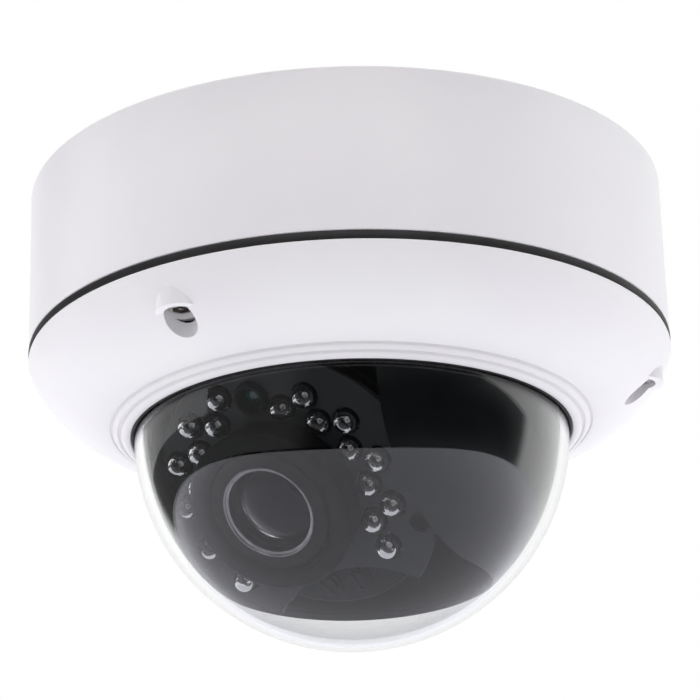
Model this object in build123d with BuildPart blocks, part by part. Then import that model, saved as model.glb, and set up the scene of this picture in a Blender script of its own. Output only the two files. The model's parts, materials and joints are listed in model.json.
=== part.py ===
from build123d import *
import os
from math import cos, radians, sin, sqrt

# Dome camera for a ceiling: a round cast base, a domed cover with a clear bubble, and inside it a
# camera head that pans, tilts and rolls on a three-axis bracket.  All lengths are millimetres.
# Origin: centre of the ceiling face of the base.  +Z points up into the ceiling, so the dome hangs
# below zero.  At rest the lens looks PAN_REST degrees to the side of -Y and TILT_REST degrees down.

# ---------------------------------------------------------------- driving dimensions
BASE_R_TOP = 72.07          # cast base, at the ceiling
BASE_R_RIM = 72.4           # cast base, at its open rim (moulding draft)
BASE_DEPTH = 38.1
WALL = 3.3
BACK = 3.0                  # thickness of the base's back plate
GASKET_R = 72.5
COVER_TOP = -40.04          # joint plane between gasket and cover
SHOULDER_R = 27.13          # radius of the cover's rounded shoulder
SHOULDER_CENTRE = (47.67, -29.57)
COVER_WALL = 2.8
OPENING_R = 49.48           # mouth that the bubble looks out of
COVER_LIP = -58.14          # lowest point of the cover
SEAT_Z = -52.6              # shelf inside the cover that the bubble's flange is clamped to

BUBBLE_R = 48.84
BUBBLE_WALL = 1.9
BUBBLE_CENTRE = -57.27
FLANGE_R = 54.0
FLANGE_TOP = -50.0

SCREW_CIRCLE = 65.0         # cover screws
SCREW_START = -3.0
FIXING_CIRCLE = 55.0        # ceiling screws
FIXING_R = 2.3
RETAINER_CIRCLE = 57.5      # screws of the bubble's retaining ring

PAN_REST = 33.1             # degrees from -Y towards -X
TILT_REST = 41.6            # degrees below the horizon
ROLL_REST = -0.56           # degrees that the head is rolled at rest, clockwise from the front
GIMBAL_Z = -57.0            # height of the tilt axis

SCREW_3 = 1.5               # radii of the screws' shanks and holes, by nominal size
SCREW_25 = 1.25
SCREW_2 = 1.0
SCREW_18 = 0.9
HEAD_3 = 2.8                # radii of their heads
HEAD_25 = 2.4
HEAD_2 = 1.9
HEAD_18 = 1.7

PLATE_TOP = -14.0           # fixed steel plate that the bracket turns on
PLATE_T = 1.5
RUN_GAP = 0.3               # between faces that slide past each other
RUN_FIT = 0.05              # radial clearance of shafts and bores that turn

LINER_R = 46.4
LINER_WALL = 1.3
LINER_TOP = -46.0
SLOT_HALF = 29.7            # half width of the liner's slot

ARM_X = 36.3                # inner face of the yoke's arms
ARM_T = 1.7
PIVOT_R = 2.5

LENS_OFFSET = -3.0          # the lens and its ring of LEDs sit to one side of the head's centre
BARREL_R = 12.9             # fixed lens barrel
RING_R = 15.5               # zoom and focus rings
HOLDER_R = 20.95            # lens holder, turning in the tilt ring
LED_OUTER_R = 25.3
LED_INNER_R = 20.9
LED_STEP = 24.0             # degrees between LEDs of one ring
TRAY_R = 30.0
TRAY_D = 22.5               # distances along the lens axis from the tilt axis
BOARD_D = 24.0
BOARD_T = 1.2
PLATE_D = 28.4
LED_PLATE_T = 1.2
LED_PLATE_R = 32.1
HOOD_D = 39.3

# ---------------------------------------------------------------- frames of reference
side = Vector(cos(radians(PAN_REST)), -sin(radians(PAN_REST)), 0)
ahead = Vector(-sin(radians(PAN_REST)), -cos(radians(PAN_REST)), 0)
lens_axis = ahead * cos(radians(TILT_REST)) - Vector(0, 0, 1) * sin(radians(TILT_REST))
lens_up = lens_axis.cross(side)
gimbal = Vector(0, 0, GIMBAL_Z)
lens_root = gimbal + side * LENS_OFFSET

head = Plane(origin=gimbal, x_dir=side, z_dir=lens_axis)          # local y is up, z is forward
lens = Plane(origin=lens_root, x_dir=side, z_dir=lens_axis)       # the same, centred on the lens
lens_section = Plane(origin=lens_root, x_dir=side, z_dir=-lens_up)  # local x is radius, y forward
trunnion = Plane(origin=gimbal, x_dir=-ahead, z_dir=side)         # local y is up, z the tilt axis
pan = Plane(origin=(0, 0, 0), x_dir=side, z_dir=(0, 0, 1))        # local -y is forward
lens_line = Axis(lens_root, lens_axis)
half_section = Plane.XZ                                           # local x is radius, y is height


def clock(radius, *angles):
    """Points on a circle of the head, at clockwise angles from its top."""
    return [
        (radius * sin(radians(angle + ROLL_REST)), radius * cos(radians(angle + ROLL_REST)))
        for angle in angles
    ]


def spots(radius, *angles):
    """Points on a circle in plan, at angles from +X."""
    return [(radius * cos(radians(angle)), radius * sin(radians(angle))) for angle in angles]


def thirds(start):
    return [start, start + 120, start + 240]


def quarters(start):
    return [start, start + 90, start + 180, start + 270]


def shoulder(radius, inset=0.0):
    """Height of the cover's shoulder, or of a surface that much inside it, at a radius."""
    reach = SHOULDER_R - inset
    return SHOULDER_CENTRE[1] - sqrt(reach ** 2 - (radius - SHOULDER_CENTRE[0]) ** 2)


cover_screw_spots = spots(SCREW_CIRCLE, *thirds(SCREW_START))
clamp_spots = spots(RETAINER_CIRCLE, *[27 + 60 * k for k in range(6)])
led_spots = (
    clock(LED_OUTER_R, *[LED_STEP * (k + 0.5) for k in (-6, -5, -4, -3, -2, -1, 1, 2, 3, 4, 5)])
    + clock(LED_INNER_R, *[LED_STEP * k for k in (-5, -4, -3, -2, -1, 1, 2, 3, 4, 5)])
)
boss_spots = clock(27.0, -96, -24, 24, 96)          # screws that hold the LED plate
light_sensor_spot = [(-0.8, 23.0)]                  # from the head's centre, as are the next two
adjuster_spots = [(1.9, -24.8), (-6.0, -24.9)]      # slotted screws in the plate's notch
plate_hole_spot = [(25.3, -13.2)]
quarter_mid = sqrt(0.5)                             # both coordinates of a unit quarter circle's middle

# ================================================================ fixed body: base, cover, bubble

# Cast base: a shallow cup with three bosses for the cover and four pillars for the bracket.
BOSS_R = 5.0
INSERT_R = 2.8
INSERT_LEN = 9.0
GROMMET_HOLE_R = 12.5
PILLAR_CIRCLE = 46.0
PILLAR_R = 4.0
PILLAR_HOLE = 8.0
OUTER_EDGE_R = 1.2
CONDUIT_Z = -20.0
CONDUIT_R = 10.0
CONDUIT_WALL = 3.2
CONDUIT_IN_Y = 60.0         # the collar round the conduit entry reaches this far in
CONDUIT_RECESS_R = 12.0
CONDUIT_RECESS_Y = 68.6
pillar_spots = spots(PILLAR_CIRCLE, *quarters(0))
conduit = Plane(origin=(0, 0, CONDUIT_Z), x_dir=(1, 0, 0), z_dir=(0, 1, 0))

with BuildPart() as base_housing:
    with BuildSketch(half_section):
        with BuildLine():
            Polyline(
                (GROMMET_HOLE_R, 0),
                (BASE_R_TOP, 0),
                (BASE_R_RIM, -BASE_DEPTH),
                (BASE_R_RIM - WALL, -BASE_DEPTH),
                (BASE_R_TOP - WALL, -BACK),
                (GROMMET_HOLE_R, -BACK),
                close=True,
            )
        outline = make_face()
        fillet(outline.vertices().group_by(Axis.Y)[-1].sort_by(Axis.X)[-1], OUTER_EDGE_R)
    revolve(axis=Axis.Z)
    with BuildSketch(Plane.XY.offset(-BASE_DEPTH)):
        with Locations(*cover_screw_spots):
            Circle(BOSS_R)
    extrude(amount=BASE_DEPTH - BACK)
    with BuildSketch(Plane.XY.offset(PLATE_TOP)):
        with Locations(*pillar_spots):
            Circle(PILLAR_R)
    extrude(amount=-PLATE_TOP - BACK)
    with BuildSketch(conduit.offset(CONDUIT_IN_Y)):
        Circle(CONDUIT_R + CONDUIT_WALL)
    extrude(amount=BASE_R_TOP - WALL / 2 - CONDUIT_IN_Y)
    with BuildSketch(conduit.offset(CONDUIT_IN_Y)):
        Circle(CONDUIT_R)
    extrude(amount=BASE_R_RIM - CONDUIT_IN_Y, mode=Mode.SUBTRACT)
    with BuildSketch(conduit.offset(CONDUIT_RECESS_Y)):
        Circle(CONDUIT_RECESS_R)
    extrude(amount=BASE_R_RIM - CONDUIT_RECESS_Y, mode=Mode.SUBTRACT)
    with BuildSketch(Plane.XY.offset(-BASE_DEPTH)):
        with Locations(*cover_screw_spots):
            Circle(INSERT_R)
    extrude(amount=INSERT_LEN, mode=Mode.SUBTRACT)
    with BuildSketch(Plane.XY):
        with Locations(*spots(FIXING_CIRCLE, *quarters(45))):
            Circle(FIXING_R)
    extrude(amount=-BACK, mode=Mode.SUBTRACT)
    with BuildSketch(Plane.XY.offset(PLATE_TOP)):
        with Locations(*pillar_spots):
            Circle(SCREW_3)
    extrude(amount=PILLAR_HOLE, mode=Mode.SUBTRACT)

# Rubber grommet in the back plate, with the hole that the camera's cable leaves by.
CABLE_R = 3.5
GROMMET_LIP_R = 15.0
GROMMET_NECK_R = 6.5
GROMMET_DEPTH = 7.0
with BuildPart() as cable_grommet:
    with BuildSketch(half_section):
        Polygon(
            (CABLE_R, 0), (GROMMET_HOLE_R, 0), (GROMMET_HOLE_R, -BACK), (GROMMET_LIP_R, -BACK),
            (GROMMET_LIP_R, -4.6), (GROMMET_NECK_R, -GROMMET_DEPTH), (CABLE_R, -GROMMET_DEPTH), align=None,
        )
    revolve(axis=Axis.Z)

# Plug that closes the side conduit entry, with its flat rubber washer.
PLUG_R = CONDUIT_RECESS_R - 0.2
PLUG_SHANK = 7.1
PLUG_HEAD_T = 1.7
WASHER_T = 0.6
with BuildPart() as conduit_plug:
    with BuildSketch(conduit.offset(CONDUIT_RECESS_Y + WASHER_T)):
        Circle(CONDUIT_R)
    extrude(amount=-WASHER_T - PLUG_SHANK)
    with BuildSketch(conduit.offset(CONDUIT_RECESS_Y + WASHER_T)):
        Circle(PLUG_R)
    extrude(amount=PLUG_HEAD_T)
    with BuildSketch(conduit.offset(CONDUIT_RECESS_Y + WASHER_T + PLUG_HEAD_T)):
        Rectangle(15, 2)
    extrude(amount=-1.1, mode=Mode.SUBTRACT)

with BuildPart() as conduit_washer:
    with BuildSketch(conduit.offset(CONDUIT_RECESS_Y)):
        Circle(PLUG_R)
        Circle(CONDUIT_R, mode=Mode.SUBTRACT)
    extrude(amount=WASHER_T)

# Brass inserts that the cover screws bite in.
SCREW_R = 2.0
with BuildPart() as thread_inserts:
    with BuildSketch(Plane.XY.offset(-BASE_DEPTH)):
        with Locations(*cover_screw_spots):
            Circle(INSERT_R)
            Circle(SCREW_R, mode=Mode.SUBTRACT)
    extrude(amount=INSERT_LEN)

# Black rubber gasket between base and cover, with an ear round each screw.
GASKET_IN_R = 67.0
SCREW_HOLE_R = 2.3
COVER_BOSS_R = 5.5
with BuildPart() as body_gasket:
    with BuildSketch(Plane.XY.offset(COVER_TOP)):
        Circle(GASKET_R)
        Circle(GASKET_IN_R, mode=Mode.SUBTRACT)
        with Locations(*cover_screw_spots):
            Circle(COVER_BOSS_R)
        with Locations(*cover_screw_spots):
            Circle(SCREW_HOLE_R, mode=Mode.SUBTRACT)
    extrude(amount=-COVER_TOP - BASE_DEPTH)

# Inside of the cover: the hollow, less the bosses that stand in it.
CLAMP_BOSS_R = 3.0
CLAMP_HOLE = 2.8
with BuildPart() as cover_hollow:
    with BuildSketch(half_section):
        with BuildLine():
            inner_top = (SHOULDER_CENTRE[0] + sqrt((SHOULDER_R - COVER_WALL) ** 2
                         - (COVER_TOP - SHOULDER_CENTRE[1]) ** 2), COVER_TOP)
            seat_r = FLANGE_R + 0.5
            inner_foot = (seat_r, shoulder(seat_r, COVER_WALL))
            inner_middle = (64.0, shoulder(64.0, COVER_WALL))
            ThreePointArc(inner_top, inner_middle, inner_foot)
            Polyline(inner_foot, (seat_r, SEAT_Z), (0, SEAT_Z), (0, COVER_TOP), inner_top)
        make_face()
    revolve(axis=Axis.Z)
    with BuildSketch(Plane.XY.offset(COVER_TOP)):
        with Locations(*cover_screw_spots):
            Circle(COVER_BOSS_R)
    extrude(amount=-15, mode=Mode.SUBTRACT)
    with BuildSketch(Plane.XY.offset(FLANGE_TOP)):
        with Locations(*clamp_spots):
            Circle(CLAMP_BOSS_R)
    extrude(amount=-6, mode=Mode.SUBTRACT)

# Domed cover: rounded shoulder, two fine steps round the mouth, three deep screw recesses.
STEP_ONE_R = 54.2
STEP_TWO_R = 52.3
STEP_TWO_Z = -57.1
GROOVE = 0.55
RECESS_R = 3.6
RECESS_Z = -44.5
with BuildPart() as dome_cover:
    with BuildSketch(half_section):
        with BuildLine():
            edge = (GASKET_R, shoulder(GASKET_R))
            foot = (STEP_ONE_R, shoulder(STEP_ONE_R))
            ThreePointArc(edge, (67.2, shoulder(67.2)), foot)
            Polyline(
                foot,
                (STEP_ONE_R - 0.1, foot[1] + GROOVE),
                (STEP_ONE_R - GROOVE, foot[1] + GROOVE),
                (STEP_ONE_R - GROOVE - 0.1, foot[1] - 0.5),
                (STEP_TWO_R, STEP_TWO_Z),
                (STEP_TWO_R - 0.1, STEP_TWO_Z + GROOVE),
                (STEP_TWO_R - GROOVE, STEP_TWO_Z + GROOVE),
                (STEP_TWO_R - GROOVE - 0.1, -57.55),
                (50.3, COVER_LIP),
                (OPENING_R + 0.25, COVER_LIP + 0.08),
                (OPENING_R, COVER_LIP + 0.4),
                (OPENING_R, COVER_TOP),
                (GASKET_R - 0.25, COVER_TOP),
                edge,
            )
        make_face()
    revolve(axis=Axis.Z)
    add(cover_hollow.part, mode=Mode.SUBTRACT)
    with BuildSketch(Plane.XY.offset(RECESS_Z)):
        with Locations(*cover_screw_spots):
            Circle(RECESS_R)
    extrude(amount=-15, mode=Mode.SUBTRACT)
    with BuildSketch(Plane.XY.offset(COVER_TOP)):
        with Locations(*cover_screw_spots):
            Circle(SCREW_HOLE_R)
    extrude(amount=-8, mode=Mode.SUBTRACT)
    with BuildSketch(Plane.XY.offset(FLANGE_TOP)):
        with Locations(*clamp_spots):
            Circle(SCREW_25)
    extrude(amount=-CLAMP_HOLE, mode=Mode.SUBTRACT)

# Three captive security screws with a hexagon socket and a centre pin, sealed by rubber rings.
SEAL_T = 0.6
HEAD_R = 3.1
HEAD_H = 2.8
SOCKET_R = 1.9
PIN_R = 0.55
COVER_SCREW_LEN = 14.0
with BuildPart() as cover_screws:
    with BuildSketch(Plane.XY.offset(RECESS_Z - SEAL_T)):
        with Locations(*cover_screw_spots):
            Circle(HEAD_R)
    extrude(amount=-HEAD_H)
    chamfer(faces().sort_by(Axis.Z)[0:3].edges(), 0.4)
    with BuildSketch(Plane.XY.offset(RECESS_Z - SEAL_T - HEAD_H)):
        with Locations(*cover_screw_spots):
            RegularPolygon(SOCKET_R, 6)
            Circle(PIN_R, mode=Mode.SUBTRACT)
    extrude(amount=1.9, mode=Mode.SUBTRACT)
    with BuildSketch(Plane.XY.offset(RECESS_Z - SEAL_T)):
        with Locations(*cover_screw_spots):
            Circle(SCREW_R)
    extrude(amount=COVER_SCREW_LEN)

with BuildPart() as screw_seals:
    with BuildSketch(Plane.XY.offset(RECESS_Z)):
        with Locations(*cover_screw_spots):
            Circle(HEAD_R)
            Circle(SCREW_HOLE_R, mode=Mode.SUBTRACT)
    extrude(amount=-SEAL_T)

# Clear polycarbonate bubble: a hemisphere, a short skirt and a flat clamping flange.
inner_bubble_r = BUBBLE_R - BUBBLE_WALL
with BuildPart() as dome_bubble:
    with BuildSketch(half_section):
        with BuildLine():
            Polyline(
                (BUBBLE_R, BUBBLE_CENTRE), (BUBBLE_R, SEAT_Z + SEAL_T), (FLANGE_R, SEAT_Z + SEAL_T),
                (FLANGE_R, FLANGE_TOP), (inner_bubble_r, FLANGE_TOP), (inner_bubble_r, BUBBLE_CENTRE),
            )
            ThreePointArc(
                (inner_bubble_r, BUBBLE_CENTRE),
                (inner_bubble_r * quarter_mid, BUBBLE_CENTRE - inner_bubble_r * quarter_mid),
                (0, BUBBLE_CENTRE - inner_bubble_r),
            )
            Line((0, BUBBLE_CENTRE - inner_bubble_r), (0, BUBBLE_CENTRE - BUBBLE_R))
            ThreePointArc(
                (0, BUBBLE_CENTRE - BUBBLE_R),
                (BUBBLE_R * quarter_mid, BUBBLE_CENTRE - BUBBLE_R * quarter_mid),
                (BUBBLE_R, BUBBLE_CENTRE),
            )
        make_face()
    revolve(axis=Axis.Z)

# Black rubber seal: a flat ring under the flange and a thin lip that shows round the bubble.
with BuildPart() as bubble_seal:
    with BuildSketch(half_section):
        Polygon(
            (BUBBLE_R, COVER_LIP + 0.25), (OPENING_R, COVER_LIP + 0.4), (OPENING_R, SEAT_Z),
            (FLANGE_R, SEAT_Z), (FLANGE_R, SEAT_Z + SEAL_T), (BUBBLE_R, SEAT_Z + SEAL_T), align=None,
        )
    revolve(axis=Axis.Z)

# Steel ring and six screws that clamp the bubble into the cover.
CLAMP_T = 1.5
CLAMP_R = 56.0
CLAMP_IN_R = 47.3
CLAMP_HEAD_H = 1.7
with BuildPart() as bubble_clamp_ring:
    with BuildSketch(Plane.XY.offset(FLANGE_TOP)):
        Circle(CLAMP_R)
        with Locations(*clamp_spots):
            Circle(CLAMP_BOSS_R)
        with Locations(*clamp_spots):
            Circle(SCREW_25, mode=Mode.SUBTRACT)
        Circle(CLAMP_IN_R, mode=Mode.SUBTRACT)
    extrude(amount=CLAMP_T)

with BuildPart() as clamp_ring_screws:
    with BuildSketch(Plane.XY.offset(FLANGE_TOP + CLAMP_T)):
        with Locations(*clamp_spots):
            Circle(HEAD_25)
    extrude(amount=CLAMP_HEAD_H)
    with BuildSketch(Plane.XY.offset(FLANGE_TOP + CLAMP_T + CLAMP_HEAD_H)):
        with Locations(*clamp_spots):
            Rectangle(2.8, 0.6)
            Rectangle(0.6, 2.8)
    extrude(amount=-0.9, mode=Mode.SUBTRACT)
    with BuildSketch(Plane.XY.offset(FLANGE_TOP + CLAMP_T)):
        with Locations(*clamp_spots):
            Circle(SCREW_25)
    extrude(amount=-CLAMP_T - CLAMP_HOLE + 0.1)

# ---------------------------------------------------------------- electronics in the base
BOARD_TOP = -8.0
MAIN_BOARD_T = 1.6
MAIN_BOARD_R = 41.0
MAIN_BOARD_IN_R = 19.0
BOARD_SCREW_LEN = 4.6
STANDOFF_CIRCLE = 34.0
standoff_spots = spots(STANDOFF_CIRCLE, *quarters(45))
with BuildPart() as board_standoffs:
    with BuildSketch(Plane.XY.offset(-BACK)):
        with Locations(*standoff_spots):
            RegularPolygon(2.8, 6)
    extrude(amount=BOARD_TOP + BACK)
    with BuildSketch(Plane.XY.offset(BOARD_TOP)):
        with Locations(*standoff_spots):
            Circle(SCREW_25)
    extrude(amount=BOARD_SCREW_LEN - 1, mode=Mode.SUBTRACT)

with BuildPart() as main_board:
    with BuildSketch(Plane.XY.offset(BOARD_TOP)):
        Circle(MAIN_BOARD_R)
        Circle(MAIN_BOARD_IN_R, mode=Mode.SUBTRACT)
        with Locations(*standoff_spots):
            Circle(SCREW_25, mode=Mode.SUBTRACT)
    extrude(amount=-MAIN_BOARD_T)

with BuildPart() as board_screws:
    with BuildSketch(Plane.XY.offset(BOARD_TOP - MAIN_BOARD_T)):
        with Locations(*standoff_spots):
            Circle(HEAD_25)
    extrude(amount=-1.6)
    with BuildSketch(Plane.XY.offset(BOARD_TOP - MAIN_BOARD_T)):
        with Locations(*standoff_spots):
            Circle(SCREW_25)
    extrude(amount=BOARD_SCREW_LEN)

CHIP_T = 1.6
CAPACITOR_R = 3.1
CAPACITOR_H = 3.4
with BuildPart() as board_components:
    with BuildSketch(Plane.XY.offset(BOARD_TOP - MAIN_BOARD_T)):
        with Locations((29, 6), (-29, -4), (-28, 12)):
            RectangleRounded(11, 11, 0.6)
        with Locations((4, 30), (-8, -30)):
            RectangleRounded(9, 6, 0.4)
    extrude(amount=-CHIP_T)
    with BuildSketch(Plane.XY.offset(BOARD_TOP - MAIN_BOARD_T)):
        with Locations((32, -8), (14, -24), (14, -33)):
            Circle(CAPACITOR_R)
    extrude(amount=-CAPACITOR_H)

TERMINAL_SPOT = (-2, -28)
TERMINAL_PITCH = 5.0
TERMINAL_H = 4.4
with BuildPart() as terminal_block:
    with BuildSketch(Plane.XY.offset(BOARD_TOP)):
        with Locations(TERMINAL_SPOT):
            Rectangle(4 * TERMINAL_PITCH, 8)
    extrude(amount=TERMINAL_H)
    with BuildSketch(Plane.XY.offset(BOARD_TOP + TERMINAL_H)):
        with GridLocations(TERMINAL_PITCH, 8, 4, 1):
            with Locations(TERMINAL_SPOT):
                Circle(1.4)
    extrude(amount=-2.4, mode=Mode.SUBTRACT)

# Steel plate on the base's pillars, that carries the turning bracket, and its screws.
HUB_R = 14.0
GIMBAL_PLATE_R = 50.0
HEAD_3_H = 1.8
with BuildPart() as gimbal_plate:
    with BuildSketch(Plane.XY.offset(PLATE_TOP)):
        Circle(GIMBAL_PLATE_R)
        Circle(HUB_R + RUN_FIT, mode=Mode.SUBTRACT)
        with Locations(*pillar_spots):
            Circle(SCREW_3, mode=Mode.SUBTRACT)
    extrude(amount=-PLATE_T)

with BuildPart() as gimbal_plate_screws:
    with BuildSketch(Plane.XY.offset(PLATE_TOP - PLATE_T)):
        with Locations(*pillar_spots):
            Circle(HEAD_3)
    extrude(amount=-HEAD_3_H)
    with BuildSketch(Plane.XY.offset(PLATE_TOP - PLATE_T)):
        with Locations(*pillar_spots):
            Circle(SCREW_3)
    extrude(amount=PILLAR_HOLE)

# ================================================================ pan: turntable, yoke and liner
TABLE_TOP = PLATE_TOP - PLATE_T - RUN_GAP
TABLE_T = 2.5
TABLE_R = 40.0
CABLE_WAY_R = 10.0
HUB_TOP = PLATE_TOP + 0.2
RETAINER_T = 1.2
retainer_screw_spots = spots(12, *thirds(90))
yoke_screw_spots = [(-27, -6), (-27, 6), (27, -6), (27, 6)]
lock_spot = (0, 33)
with BuildPart() as pan_turntable:
    with BuildSketch(pan.offset(TABLE_TOP)):
        Circle(TABLE_R)
    extrude(amount=-TABLE_T)
    with BuildSketch(pan.offset(TABLE_TOP)):
        Circle(HUB_R)
    extrude(amount=HUB_TOP - TABLE_TOP)
    with BuildSketch(pan.offset(HUB_TOP)):
        Circle(CABLE_WAY_R)
        with Locations(*retainer_screw_spots):
            Circle(SCREW_18)
    extrude(amount=-6, mode=Mode.SUBTRACT)
    with BuildSketch(pan.offset(TABLE_TOP)):
        with Locations(*yoke_screw_spots, lock_spot):
            Circle(SCREW_3)
    extrude(amount=-TABLE_T, mode=Mode.SUBTRACT)

with BuildPart() as pan_retainer:
    with BuildSketch(pan.offset(HUB_TOP)):
        Circle(17)
        Circle(CABLE_WAY_R, mode=Mode.SUBTRACT)
        with Locations(*retainer_screw_spots):
            Circle(SCREW_18, mode=Mode.SUBTRACT)
    extrude(amount=RETAINER_T)

with BuildPart() as pan_retainer_screws:
    with BuildSketch(pan.offset(HUB_TOP + RETAINER_T)):
        with Locations(*retainer_screw_spots):
            Circle(HEAD_18)
    extrude(amount=1)
    with BuildSketch(pan.offset(HUB_TOP + RETAINER_T)):
        with Locations(*retainer_screw_spots):
            Circle(SCREW_18)
    extrude(amount=-4.5)

# Pressed steel yoke: a cross web under the turntable and two arms down to the tilt axis.
WEB_TOP = TABLE_TOP - TABLE_T
ARM_HALF = 11.0
EAR_TOP = LINER_TOP
EAR_X = 42.3
EAR_W = 12.0
ARM_FOOT_R = 8.5
LINER_SCREW_X = 40.9
arm_rise = WEB_TOP - GIMBAL_Z
with BuildPart() as yoke:
    with BuildSketch(pan.offset(WEB_TOP)):
        Rectangle(2 * (ARM_X + ARM_T), 2 * ARM_HALF)
        Circle(CABLE_WAY_R, mode=Mode.SUBTRACT)
        with Locations(*yoke_screw_spots):
            Circle(SCREW_3, mode=Mode.SUBTRACT)
    extrude(amount=-ARM_T)
    for face in (ARM_X, -ARM_X - ARM_T):
        with BuildSketch(trunnion.offset(face)):
            with BuildLine():
                Polyline((ARM_FOOT_R, 0), (ARM_HALF, 12), (ARM_HALF, arm_rise), (-ARM_HALF, arm_rise),
                         (-ARM_HALF, 12), (-ARM_FOOT_R, 0))
                ThreePointArc((-ARM_FOOT_R, 0), (0, -ARM_FOOT_R), (ARM_FOOT_R, 0))
            make_face()
            with Locations((0, 24)):
                SlotOverall(14, 8, rotation=90, mode=Mode.SUBTRACT)
            Circle(PIVOT_R + RUN_FIT, mode=Mode.SUBTRACT)
        extrude(amount=ARM_T)
    with BuildSketch(pan.offset(EAR_TOP)):
        with Locations(((ARM_X + EAR_X) / 2, 0), (-(ARM_X + EAR_X) / 2, 0)):
            Rectangle(EAR_X - ARM_X, EAR_W)
        with Locations((LINER_SCREW_X, 0), (-LINER_SCREW_X, 0)):
            Circle(SCREW_2, mode=Mode.SUBTRACT)
    extrude(amount=-ARM_T)

with BuildPart() as yoke_screws:
    with BuildSketch(pan.offset(WEB_TOP - ARM_T)):
        with Locations(*yoke_screw_spots):
            Circle(HEAD_3)
    extrude(amount=-HEAD_3_H)
    with BuildSketch(pan.offset(WEB_TOP - ARM_T)):
        with Locations(*yoke_screw_spots):
            Circle(SCREW_3)
    extrude(amount=3.8)

# Knurled screw that locks the pan.
LOCK_R = 4.0
LOCK_H = 4.0
with BuildPart() as pan_lock_screw:
    with BuildSketch(pan.offset(WEB_TOP - RUN_GAP)):
        with Locations(lock_spot):
            Circle(LOCK_R)
    extrude(amount=-LOCK_H)
    with BuildSketch(pan.offset(WEB_TOP - RUN_GAP)):
        with Locations(lock_spot):
            with PolarLocations(LOCK_R, 18):
                Circle(0.35)
    extrude(amount=-LOCK_H, mode=Mode.SUBTRACT)
    with BuildSketch(pan.offset(WEB_TOP - RUN_GAP)):
        with Locations(lock_spot):
            Circle(SCREW_3 - RUN_FIT)
    extrude(amount=TABLE_T + RUN_GAP)

# Dark liner that turns with the yoke: a half shell with a slot that the lens tilts along.
PAD_T = 1.5
PAD_IN = 38.8
inner_liner_r = LINER_R - LINER_WALL
PAD_OUT = inner_liner_r + 0.3
with BuildPart() as inner_liner:
    with BuildSketch(half_section):
        with BuildLine():
            Polyline((LINER_R, BUBBLE_CENTRE), (LINER_R, LINER_TOP), (inner_liner_r, LINER_TOP),
                     (inner_liner_r, BUBBLE_CENTRE))
            ThreePointArc(
                (inner_liner_r, BUBBLE_CENTRE),
                (inner_liner_r * quarter_mid, BUBBLE_CENTRE - inner_liner_r * quarter_mid),
                (0, BUBBLE_CENTRE - inner_liner_r),
            )
            Line((0, BUBBLE_CENTRE - inner_liner_r), (0, BUBBLE_CENTRE - LINER_R))
            ThreePointArc(
                (0, BUBBLE_CENTRE - LINER_R),
                (LINER_R * quarter_mid, BUBBLE_CENTRE - LINER_R * quarter_mid),
                (LINER_R, BUBBLE_CENTRE),
            )
        make_face()
    revolve(axis=Axis.Z)
    with BuildSketch(pan.offset(EAR_TOP - ARM_T)):
        for hand in (1, -1):
            with Locations((hand * (PAD_IN + PAD_OUT) / 2, 0)):
                Rectangle(PAD_OUT - PAD_IN, EAR_W)
    extrude(amount=-PAD_T)
    with BuildSketch(pan.offset(BUBBLE_CENTRE - BUBBLE_R)):
        with BuildLine():
            Polyline((SLOT_HALF, 0), (SLOT_HALF, -50), (-SLOT_HALF, -50), (-SLOT_HALF, 0))
            ThreePointArc((-SLOT_HALF, 0), (0, SLOT_HALF), (SLOT_HALF, 0))
        make_face()
    extrude(amount=BUBBLE_R + LINER_TOP - BUBBLE_CENTRE, mode=Mode.SUBTRACT)
    with BuildSketch(pan.offset(LINER_TOP)):
        with Locations((LINER_SCREW_X, 0), (-LINER_SCREW_X, 0)):
            Circle(SCREW_2)
    extrude(amount=-6, mode=Mode.SUBTRACT)

with BuildPart() as liner_screws:
    with BuildSketch(pan.offset(EAR_TOP - ARM_T - PAD_T)):
        with Locations((LINER_SCREW_X - 0.4, 0), (-LINER_SCREW_X + 0.4, 0)):
            Circle(1.6)
    extrude(amount=-1.1)
    with BuildSketch(pan.offset(EAR_TOP - ARM_T - PAD_T)):
        with Locations((LINER_SCREW_X, 0), (-LINER_SCREW_X, 0)):
            Circle(SCREW_2)
    extrude(amount=ARM_T + PAD_T)

# ================================================================ tilt: ring, washers and knobs
TILT_RING_R = 29.5
TILT_HALF = 4.0
BOSS_X = 35.5
BOSS_START = 26.0
STUD_R = 2.0
JOURNAL = 2.6               # length of the part of a trunnion that turns in the yoke
STUD = 2.4                  # length of the threaded end that takes a lock knob
with BuildPart() as tilt_ring:
    with BuildSketch(head.offset(-TILT_HALF)):
        Circle(TILT_RING_R)
    extrude(amount=2 * TILT_HALF)
    for turn in (1, -1):
        with BuildSketch(trunnion.offset(turn * BOSS_START)):
            Circle(TILT_HALF)
        extrude(amount=turn * (BOSS_X - BOSS_START))
        with BuildSketch(trunnion.offset(turn * BOSS_X)):
            Circle(PIVOT_R)
        extrude(amount=turn * JOURNAL)
        with BuildSketch(trunnion.offset(turn * (BOSS_X + JOURNAL))):
            Circle(STUD_R)
        extrude(amount=turn * STUD)
    with BuildSketch(head.offset(-TILT_HALF)):
        Circle(HOLDER_R + RUN_FIT)
    extrude(amount=2 * TILT_HALF, mode=Mode.SUBTRACT)

with BuildPart() as tilt_washers:
    for turn in (1, -1):
        with BuildSketch(trunnion.offset(turn * BOSS_X)):
            Circle(5.5)
            Circle(PIVOT_R, mode=Mode.SUBTRACT)
        extrude(amount=turn * 0.5)


KNOB_R = 5.0
KNOB_T = 3.6


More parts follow.
